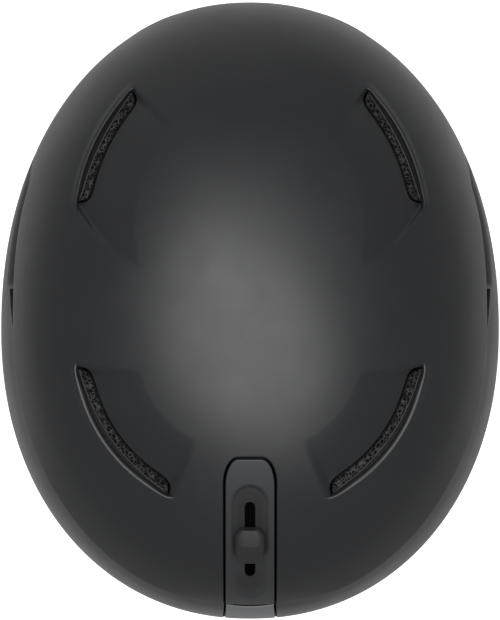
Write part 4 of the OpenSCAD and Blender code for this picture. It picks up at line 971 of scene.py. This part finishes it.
def chin_strap(name, end_x, side):
    """Half of the chin strap: down from the divider, round a bend, and flat to the buckle."""
    x, low = WEB_X + WEB_T / 2.0, WEB_LOW + WEB_T / 2.0
    turn = arc(0.0, 90.0, 30)
    drop = joined(x, np.linspace(WEB_TOP, low + BEND_R, 16))[:-1]
    bend = np.stack([x - BEND_R + BEND_R * np.cos(turn), low + BEND_R - BEND_R * np.sin(turn)], -1)
    flat = joined(np.linspace(x - BEND_R, end_x, 60), low)[1:]
    line = np.concatenate([drop, bend, flat])
    path = joined(side * line[:, 0], DIVIDER_Y, line[:, 1])
    across = np.broadcast_to(np.array([0.0, 1.0, 0.0]), path.shape)
    return ribbon(name, path, across, np.full(len(line), WEB_W))


# Materials
def effect(name, inputs, outputs):
    """New node group with named float inputs and outputs; gives its tree, its inputs and its outputs."""
    tree = bpy.data.node_groups.new(name, "ShaderNodeTree")
    for socket in inputs:
        tree.interface.new_socket(name=socket, in_out="INPUT", socket_type="NodeSocketFloat")
    for socket in outputs:
        tree.interface.new_socket(name=socket, in_out="OUTPUT", socket_type="NodeSocketFloat")
    return tree, tree.nodes.new("NodeGroupInput").outputs, tree.nodes.new("NodeGroupOutput").inputs


def place_node(tree, kind, values=None, **settings):
    """Adds a node with its settings, and sets or links its inputs by name or number."""
    node = tree.nodes.new(kind)
    for name, value in settings.items():
        setattr(node, name, value)
    for socket, value in (values or {}).items():
        if isinstance(value, bpy.types.NodeSocket):
            tree.links.new(value, node.inputs[socket])
        else:
            node.inputs[socket].default_value = value
    return node


def calc(tree, operation, *terms):
    """Maths on values or sockets; gives the result's socket."""
    node = place_node(tree, "ShaderNodeMath", dict(enumerate(terms)), operation=operation)
    return node.outputs[0]


def ramp(tree, value, lo, hi, to_lo=0.0, to_hi=1.0):
    """Smooth change from one level to another as a value goes from lo to hi."""
    spread = {"Value": value, "From Min": lo, "From Max": hi, "To Min": to_lo, "To Max": to_hi}
    return place_node(tree, "ShaderNodeMapRange", spread, interpolation_type="SMOOTHSTEP").outputs[0]


def object_place(tree):
    """Places on the object itself, in metres."""
    return place_node(tree, "ShaderNodeTexCoord").outputs["Object"]


def noise(tree, scale, detail, place=None, **more):
    """Cloudy noise, so many cells to a metre, on the object or at given places; gives its level."""
    place = object_place(tree) if place is None else place
    values = {"Vector": place, "Scale": scale, "Detail": detail, **more}
    return place_node(tree, "ShaderNodeTexNoise", values).outputs[0]


def blend(tree, share, first, second):
    """Colour between two colours or sockets by a share."""
    return place_node(tree, "ShaderNodeMix", {0: share, 6: first, 7: second}, data_type="RGBA").outputs[2]


def coat(tree, shader, colour, rough, height, deep, **plain):
    """Links a shader's colour, its roughness and a height of so many metres from its lowest to its highest
    place, and sets the inputs that are the same all over."""
    normal = place_node(tree, "ShaderNodeBump", {"Height": height, "Distance": deep, "Strength": 1.0}).outputs[0]
    for socket, name in ((colour, "Base Color"), (rough, "Roughness"), (normal, "Normal")):
        tree.links.new(socket, shader[name])
    for name, value in plain.items():
        shader[name.replace("_", " ")].default_value = value


def voronoi(tree, scale, spread, kind):
    """Cells on the object, so many to a metre; gives the node's outputs."""
    values = {"Vector": object_place(tree), "Scale": scale, "Randomness": spread}
    return place_node(tree, "ShaderNodeTexVoronoi", values, feature=kind).outputs


def moulded_grain_effect():
    """Eroded tool finish of moulded plastic: a fine pitted height, and a broad unevenness of tone."""
    tree, given, out = effect("moulded_grain", ["Cells per metre"], ["Height", "Tone"])
    tree.links.new(noise(tree, given[0], 2.0), out["Height"])
    tree.links.new(ramp(tree, noise(tree, 26.0, 4.0, Roughness=0.6), 0.3, 0.7), out["Tone"])
    return tree


def edge_polish_effect():
    """Corners rubbed smooth by handling: 1 on sharp outer corners, broken up by a coarse noise."""
    tree, given, out = effect("edge_polish", ["Corner"], ["Mask"])
    corner = place_node(tree, "ShaderNodeNewGeometry").outputs["Pointiness"]
    sharp = ramp(tree, corner, given[0], calc(tree, "ADD", given[0], 0.07))
    patchy = ramp(tree, noise(tree, 180.0, 3.0), 0.35, 0.6, 0.4, 1.0)
    tree.links.new(calc(tree, "MULTIPLY", sharp, patchy), out["Mask"])
    return tree


def thread_effect():
    """Twill of woven thread on a UV map in mm: rows of slanting threads that pass over and under."""
    tree, given, out = effect("woven_thread", ["Thread width", "Slant"], ["Height", "Tone"])
    uv = place_node(tree, "ShaderNodeSeparateXYZ", {0: place_node(tree, "ShaderNodeTexCoord").outputs["UV"]})
    along, across = uv.outputs["X"], uv.outputs["Y"]
    zigzag = calc(tree, "PINGPONG", calc(tree, "ADD", across, 40.0), 2.25)
    slanted = calc(tree, "ADD", along, calc(tree, "MULTIPLY", zigzag, given["Slant"]))

    def waves(run):
        """Rounded threads side by side along a run."""
        turn = calc(tree, "MULTIPLY", calc(tree, "DIVIDE", run, given["Thread width"]), math.pi)
        return calc(tree, "ABSOLUTE", calc(tree, "SINE", turn))
    row, step = waves(across), waves(slanted)
    both = calc(tree, "MULTIPLY", calc(tree, "POWER", row, 0.6), calc(tree, "POWER", step, 0.6))
    tree.links.new(both, out["Height"])
    tree.links.new(step, out["Tone"])
    return tree


def pile_effect():
    """Short brushed pile: fine fibres lying in small tufts."""
    tree, given, out = effect("brushed_pile", ["Fibres per metre"], ["Height", "Tone"])
    tufts, fibres = noise(tree, 330.0, 2.0), noise(tree, given[0], 3.0, Distortion=1.6)
    height = calc(tree, "ADD", calc(tree, "MULTIPLY", tufts, 0.6), calc(tree, "MULTIPLY", fibres, 0.4))
    tree.links.new(height, out["Height"])
    tree.links.new(ramp(tree, calc(tree, "MULTIPLY", tufts, fibres), 0.12, 0.4), out["Tone"])
    return tree


MOULDED_GRAIN = moulded_grain_effect()
EDGE_POLISH = edge_polish_effect()
WOVEN_THREAD = thread_effect()
BRUSHED_PILE = pile_effect()


def new_material(name):
    """Material with a Principled shader; gives the material, its tree and the shader's inputs."""
    material = bpy.data.materials.new(name)
    material.use_nodes = True
    return material, material.node_tree, material.node_tree.nodes["Principled BSDF"].inputs


def tinted(tree, dark, pale, share):
    """Colour between two given colours by a share."""
    return blend(tree, share, (*dark, 1.0), (*pale, 1.0))


def use(tree, group, **values):
    """Places a node group with its own values; gives its outputs."""
    node = place_node(tree, "ShaderNodeGroup", node_tree=group)
    for name, value in values.items():
        node.inputs[name.replace("_", " ").capitalize()].default_value = value
    return node.outputs


def moulded(name, colour, roughness, cells=1800.0, deep=6e-6, corner=0.56, polish=1.35, shade=None):
    """Moulded plastic: its grain, an uneven tone and gloss, and corners rubbed paler and smoother. An attribute may
    name where shade is painted in, darker and less glossy, as in a recess."""
    material, tree, shader = new_material(name)
    grain = use(tree, MOULDED_GRAIN, cells_per_metre=cells)
    rubbed = use(tree, EDGE_POLISH, corner=corner)["Mask"]
    colour = np.array(colour)
    body = tinted(tree, colour * 0.95, colour * 1.05, grain["Tone"])
    tone = blend(tree, rubbed, body, (*(colour * polish), 1.0))
    gloss = ramp(tree, grain["Tone"], 0.0, 1.0, roughness - 0.025, roughness + 0.025)
    gloss = calc(tree, "SUBTRACT", gloss, calc(tree, "MULTIPLY", rubbed, 0.08))
    # Painted shade: where the attribute is 1 the colour falls to 0.3 of itself and the gloss drops
    if shade:
        painted_shade_share = place_node(tree, "ShaderNodeAttribute", attribute_name=shade).outputs["Fac"]
        tone = blend(tree, painted_shade_share, tone, (*(colour * 0.3), 1.0))
        gloss = calc(tree, "ADD", gloss, calc(tree, "MULTIPLY", painted_shade_share, 0.2))
    coat(tree, shader, tone, gloss, grain["Height"], deep)
    return material


def open_mesh(name):
    """Pressed mesh of the vents: irregular black pores between thin webs, darker in the shade of the
    shell along its inner edge, and a clean moulded bead along its outer edge."""
    material, tree, shader = new_material(name)
    edges = voronoi(tree, 560.0, 1.0, "DISTANCE_TO_EDGE")["Distance"]
    tone = noise(tree, 420.0, 3.0)
    uv = place_node(tree, "ShaderNodeTexCoord").outputs["UV"]
    share = place_node(tree, "ShaderNodeSeparateXYZ", {0: uv}).outputs["Y"]
    bead = ramp(tree, share, 0.10, 0.16, 1.0, 0.0)
    shade = ramp(tree, share, 0.55, 0.95, 1.0, 0.1)
    web = calc(tree, "MULTIPLY", ramp(tree, edges, 0.05, 0.2, 1.0, 0.0), ramp(tree, tone, 0.32, 0.62, 0.16, 1.0))
    web = calc(tree, "MAXIMUM", calc(tree, "MULTIPLY", web, shade), bead)
    coat(tree, shader, tinted(tree, (0.0006, 0.0006, 0.0006), (0.045, 0.045, 0.047), web),
         ramp(tree, web, 0.0, 1.0, 0.95, 0.5), web, 2.5e-4, Specular_IOR_Level=0.2)
    return material


def bead_foam(name):
    """Expanded bead foam: rounded beads of 2 to 4 mm pressed together, each a little different in tone."""
    material, tree, shader = new_material(name)
    beads = voronoi(tree, 330.0, 0.85, "F1")["Color"]
    seams = voronoi(tree, 330.0, 0.85, "DISTANCE_TO_EDGE")["Distance"]
    one_bead = place_node(tree, "ShaderNodeSeparateColor", {0: beads}).outputs[0]
    tone = calc(tree, "MULTIPLY", ramp(tree, seams, 0.0, 0.09, 0.45, 1.0), ramp(tree, one_bead, 0.0, 1.0, 0.6, 1.0))
    coat(tree, shader, tinted(tree, (0.009, 0.009, 0.0095), (0.045, 0.045, 0.047), tone),
         ramp(tree, one_bead, 0.0, 1.0, 0.62, 0.8), ramp(tree, seams, 0.0, 0.22), 1.5e-4)
    return material


def fleece(name, dark, pale):
    """Brushed lining of the pads, with a soft sheen."""
    material, tree, shader = new_material(name)
    pile = use(tree, BRUSHED_PILE, fibres_per_metre=2600.0)
    coat(tree, shader, tinted(tree, dark, pale, pile["Tone"]), ramp(tree, pile["Tone"], 0.0, 1.0, 0.98, 0.86),
         pile["Height"], 4e-4, Sheen_Weight=0.3, Sheen_Roughness=0.5, Specular_IOR_Level=0.15)
    return material


def webbing(name):
    """Herringbone webbing with a nylon shine on each thread."""
    material, tree, shader = new_material(name)
    twill = use(tree, WOVEN_THREAD, thread_width=0.9, slant=1.0)
    coat(tree, shader, tinted(tree, (0.004, 0.004, 0.0045), (0.02, 0.02, 0.021), twill["Tone"]),
         ramp(tree, twill["Tone"], 0.0, 1.0, 0.85, 0.55), twill["Height"], 2.2e-4)
    return material


def drawn_steel(name, dark, pale):
    """Turned steel of the pin, screw and rivets: fine streaks, and corners rubbed bright."""
    material, tree, shader = new_material(name)
    along = place_node(tree, "ShaderNodeMapping", {"Vector": object_place(tree), "Scale": (300.0, 3000.0, 3000.0)})
    streaks = noise(tree, 1.0, 3.0, along.outputs[0])
    rubbed = use(tree, EDGE_POLISH, corner=0.55)["Mask"]
    tone = calc(tree, "MAXIMUM", ramp(tree, streaks, 0.3, 0.7), rubbed)
    coat(tree, shader, tinted(tree, dark, pale, tone), ramp(tree, tone, 0.0, 1.0, 0.42, 0.26), streaks, 6e-6,
         Metallic=1.0)
    return material


def painted_shade_black(name):
    """Painted shade for the insides of gaps, slots and wells: matt black that gives nothing back, with a trace of
    dust.
    """
    material, tree, shader = new_material(name)
    tone = use(tree, MOULDED_GRAIN, cells_per_metre=900.0)["Tone"]
    tree.links.new(tinted(tree, (0.0012, 0.0012, 0.0012), (0.002, 0.002, 0.002), tone), shader["Base Color"])
    shader["Roughness"].default_value = 1.0
    shader["Specular IOR Level"].default_value = 0.0
    return material


SATIN_BLACK = moulded("satin_black", (0.0099, 0.0107, 0.012), 0.42, 2400.0, 4e-6, 0.6)
BAND_BLACK = moulded("band_black", (0.0099, 0.0107, 0.012), 0.45, 2400.0, 4e-6, 0.6)
# The panel's recess gets painted shade from its recess_shade attribute
PANEL_GREY = moulded("panel_grey", (0.0226, 0.0236, 0.0254), 0.46, shade="recess_shade")
# Painted shade: a darker, rougher black for the vents' grooves
GROOVE_SHADE_BLACK = moulded("groove_shade_black", (0.009, 0.0092, 0.0096), 0.7)
KNOB_GREY = moulded("knob_grey", (0.014, 0.0142, 0.0147), 0.46, polish=1.1)
CLIP_GREY = moulded("clip_grey", (0.132, 0.136, 0.141), 0.5)
FITTING_BLACK = moulded("fitting_black", (0.016, 0.016, 0.0165), 0.5, 1300.0, 1e-5)
DIAL_GREY = moulded("dial_grey", (0.03, 0.03, 0.031), 0.48, 1300.0, 1e-5)
TRIM_BLACK = moulded("trim_black", (0.012, 0.012, 0.012), 0.62, 1500.0, 1e-5, 0.6, 1.15)
# Painted shade: the black put in the wells, the slot and the gaps
WELL_SHADE_BLACK = painted_shade_black("well_shade_black")
MESH_BLACK = open_mesh("mesh_black")
BEAD_FOAM = bead_foam("bead_foam")
PAD_FLEECE = fleece("pad_fleece", (0.068, 0.07, 0.074), (0.14, 0.144, 0.152))
WEBBING = webbing("webbing")
STEEL = drawn_steel("drawn_steel", (0.36, 0.36, 0.37), (0.58, 0.58, 0.59))
# The pin's steel is nearly black
PIN_STEEL = drawn_steel("near_black_pin_steel", (0.012, 0.012, 0.0125), (0.03, 0.03, 0.031))


# Floor, lamps and camera, placed in metres, with the camera's sensor in mm
FLOOR_WHITE = 0.54
FLOOR_EDGE = ((-0.15, -0.25), (0.15, -0.25), (0.37, -0.08), (0.37, 0.1), (0.2, 1.2), (-0.37, 1.2),
              (-0.37, -0.08))
FLOOR_GLOW, FLOOR_SEEN, WORLD_GREY = 0.2, 0.85, 0.36
WHITE = (1.0, 1.0, 1.0, 1.0)
LAMP_AIM = (0.0, 0.0, 0.1)
LAMPS = (("overhead_lamp", (-0.055, -0.065, 1.6), (1.45, 0.95), 22.4),
         ("front_lamp", (-0.6, 2.2, 0.5), (2.4, 0.7), 1.6))
CAMERA_FAR, FRAME_TALL, SENSOR = 7.0, 0.2852, 36.0


def camera_sees(tree):
    """1 where the camera looks, 0 for the light that bounces about."""
    return place_node(tree, "ShaderNodeLightPath").outputs["Is Camera Ray"]


def white_floor():
    """Pale floor that the camera sees as white from above, with the helmet's shadow left on it, and sees
    through from below."""
    mesh = bpy.data.meshes.new("floor")
    mesh.from_pydata([(x, y, 0.0) for x, y in FLOOR_EDGE], [], [tuple(range(len(FLOOR_EDGE)))])
    floor = bpy.data.objects.new("floor", mesh)
    bpy.context.scene.collection.objects.link(floor)
    material, tree, shader = new_material("floor_white")
    shader["Base Color"].default_value = (FLOOR_WHITE, FLOOR_WHITE, FLOOR_WHITE, 1.0)
    shader["Roughness"].default_value = 0.9
    shader["Emission Color"].default_value = WHITE
    glow = calc(tree, "MULTIPLY_ADD", camera_sees(tree), FLOOR_SEEN, FLOOR_GLOW)
    tree.links.new(glow, shader["Emission Strength"])
    under = place_node(tree, "ShaderNodeNewGeometry").outputs["Backfacing"]
    clear = place_node(tree, "ShaderNodeBsdfTransparent").outputs[0]
    solid = tree.nodes["Principled BSDF"].outputs[0]
    either = place_node(tree, "ShaderNodeMixShader", {0: under, 1: solid, 2: clear})
    tree.links.new(either.outputs[0], tree.nodes["Material Output"].inputs["Surface"])
    mesh.materials.append(material)


def lamp(name, place, size, watts):
    """Oblong soft lamp that looks at the middle of the helmet."""
    light = bpy.data.lights.new(name, "AREA")
    light.shape = "RECTANGLE"
    light.size, light.size_y = size
    light.energy = watts
    lamp_object = bpy.data.objects.new(name, light)
    lamp_object.location = place
    aim = Vector(LAMP_AIM) - Vector(place)
    lamp_object.rotation_euler = aim.to_track_quat("-Z", "Y").to_euler()
    bpy.context.scene.collection.objects.link(lamp_object)


def studio():
    """White surroundings for the camera, soft grey ones for the light, a large lamp overhead and a faint
    one ahead, and the camera straight above."""
    scene = bpy.context.scene
    world = bpy.data.worlds.new("studio")
    scene.world = world
    world.use_nodes = True
    tree = world.node_tree
    back = tree.nodes["Background"].inputs
    back["Color"].default_value = WHITE
    level = place_node(tree, "ShaderNodeMix", {0: camera_sees(tree), 2: WORLD_GREY, 3: 1.0}, data_type="FLOAT")
    tree.links.new(level.outputs[0], back["Strength"])
    for name, place, size, watts in LAMPS:
        lamp(name, place, size, watts)
    scene.view_settings.view_transform = "Standard"
    camera = bpy.data.cameras.new("photo_camera")
    camera.sensor_fit = "VERTICAL"
    camera.sensor_height = SENSOR
    camera.lens = SENSOR * CAMERA_FAR / FRAME_TALL
    camera.clip_end = 50.0
    view = bpy.data.objects.new("photo_camera", camera)
    view.location = (0.0, 0.0, EQUATOR_Z * MM + CAMERA_FAR)
    scene.collection.objects.link(view)
    scene.camera = view


# Making
def dress(piece, finishes, body, node=None):
    """Gives a piece its materials and the body it moves with, and hides the CAD node whose place it takes."""
    for material in finishes:
        piece.data.materials.append(material)
    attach(piece, body)
    if node:
        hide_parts(node)


def make_upper_shell():
    """Dome, four vent patches and the panel's frame, all in the upper shell's satin black, with painted shade:
    black in the wells and in the gap round the panel, and a darker, rougher black in the grooves."""
    pieces = [upper_shell_dome(), panel_frame()]
    for place, vent in VENTS:
        pieces += [vent_patch("vent_surround_%s_%s" % (place, name), vent, side) for name, side in SIDES]
    for k, piece in enumerate(pieces):
        dress(piece, (SATIN_BLACK, WELL_SHADE_BLACK, GROOVE_SHADE_BLACK), "helmet", None if k else "upper_shell")


def make_hard_parts():
    """Lower shell, panel, knob, clip and its base, dial case, meshes, paddles, buckle and trim."""
    dress(lower_shell(), (BAND_BLACK,), "helmet", "lower_shell")
    dress(rear_panel(), (PANEL_GREY, WELL_SHADE_BLACK), "helmet", "rear_panel")
    dress(vent_knob(), (KNOB_GREY,), "vent_slider", "vent_knob")
    dress(goggle_clip(), (CLIP_GREY, WELL_SHADE_BLACK), "goggle_clip", "goggle_clip")
    for piece in clip_base():
        dress(piece, (FITTING_BLACK,), "helmet", "goggle_clip_base")
    dress(fit_case(), (FITTING_BLACK,), "helmet", "fit_housing")
    for place, vent in VENTS:
        for name, side in SIDES:
            mesh = vent_mesh("mesh_panel_%s_%s" % (place, name), vent, side)
            dress(mesh, (MESH_BLACK,), "helmet", "vent_mesh_%s_%s" % (place, name))
    for name, side in SIDES:
        dress(band_paddle("band_paddle_%s" % name, side), (FITTING_BLACK,), "band_%s" % name)
    for node, span, waist in BUCKLE_HALVES:
        dress(buckle_shell("%s_shell" % node, span, waist), (FITTING_BLACK,), "helmet", node)
    for name, side in (("front", 1.0), ("rear", -1.0)):
        dress(buckle_latch("buckle_latch_%s" % name, side), (DIAL_GREY,), "helmet")
    dress(edge_trim(), (TRIM_BLACK,), "helmet", "edge_trim")


def make_soft_parts():
    """Foam, pads and webbing."""
    dress(foam_liner(), (BEAD_FOAM,), "helmet", "foam_liner")
    pads = {"brow_pad": liner_pad("brow_cushion", (38.0, 142.0), (-8.0, 16.0), 4),
            "side_pad_right": liner_pad("side_cushion_right", (-32.0, 26.0), (5.0, 28.0), 2),
            "side_pad_left": liner_pad("side_cushion_left", (-32.0, 26.0), (5.0, 28.0), 2, -1.0),
            "rear_pad": liner_pad("rear_cushion", (246.0, 294.0), (-26.0, 12.0), 2),
            "crown_pad": crown_pad(),
            "ear_pad_left": ear_pad("ear_cushion_left", -1.0),
            "ear_pad_right": ear_pad("ear_cushion_right", 1.0)}
    for node, pad in pads.items():
        dress(pad, (PAD_FLEECE,), "helmet", node)
    for name, side in SIDES:
        for place, foot, rivet in STRAP_LEGS:
            leg = strap_leg("strap_leg_%s_%s" % (place, name), np.array(foot), np.array(rivet), side)
            dress(leg, (WEBBING,), "helmet", "side_strap_%s" % name)
    for name, end_x, side in CHIN_ENDS:
        strap = chin_strap("chin_webbing_%s" % name, end_x, side)
        dress(strap, (WEBBING,), "helmet", "chin_strap_%s" % name)


def dress_fittings():
    """Finishes of the nodes that keep their CAD shape, put in place of the first material of each."""
    paired = ("ear_plate", "fit_arm", "band_end", "strap_divider")
    finishes = {FITTING_BLACK: ["vent_shutter"] + ["%s_%s" % (node, name) for node in paired for name, _ in SIDES],
                DIAL_GREY: ["fit_dial"],
                STEEL: ["slider_screw", "strap_rivets"],
                PIN_STEEL: ["goggle_clip_pin"]}
    for material, nodes in finishes.items():
        for node in nodes:
            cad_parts[node].data.materials[0] = material


make_upper_shell()
make_hard_parts()
make_soft_parts()
dress_fittings()
white_floor()
studio()
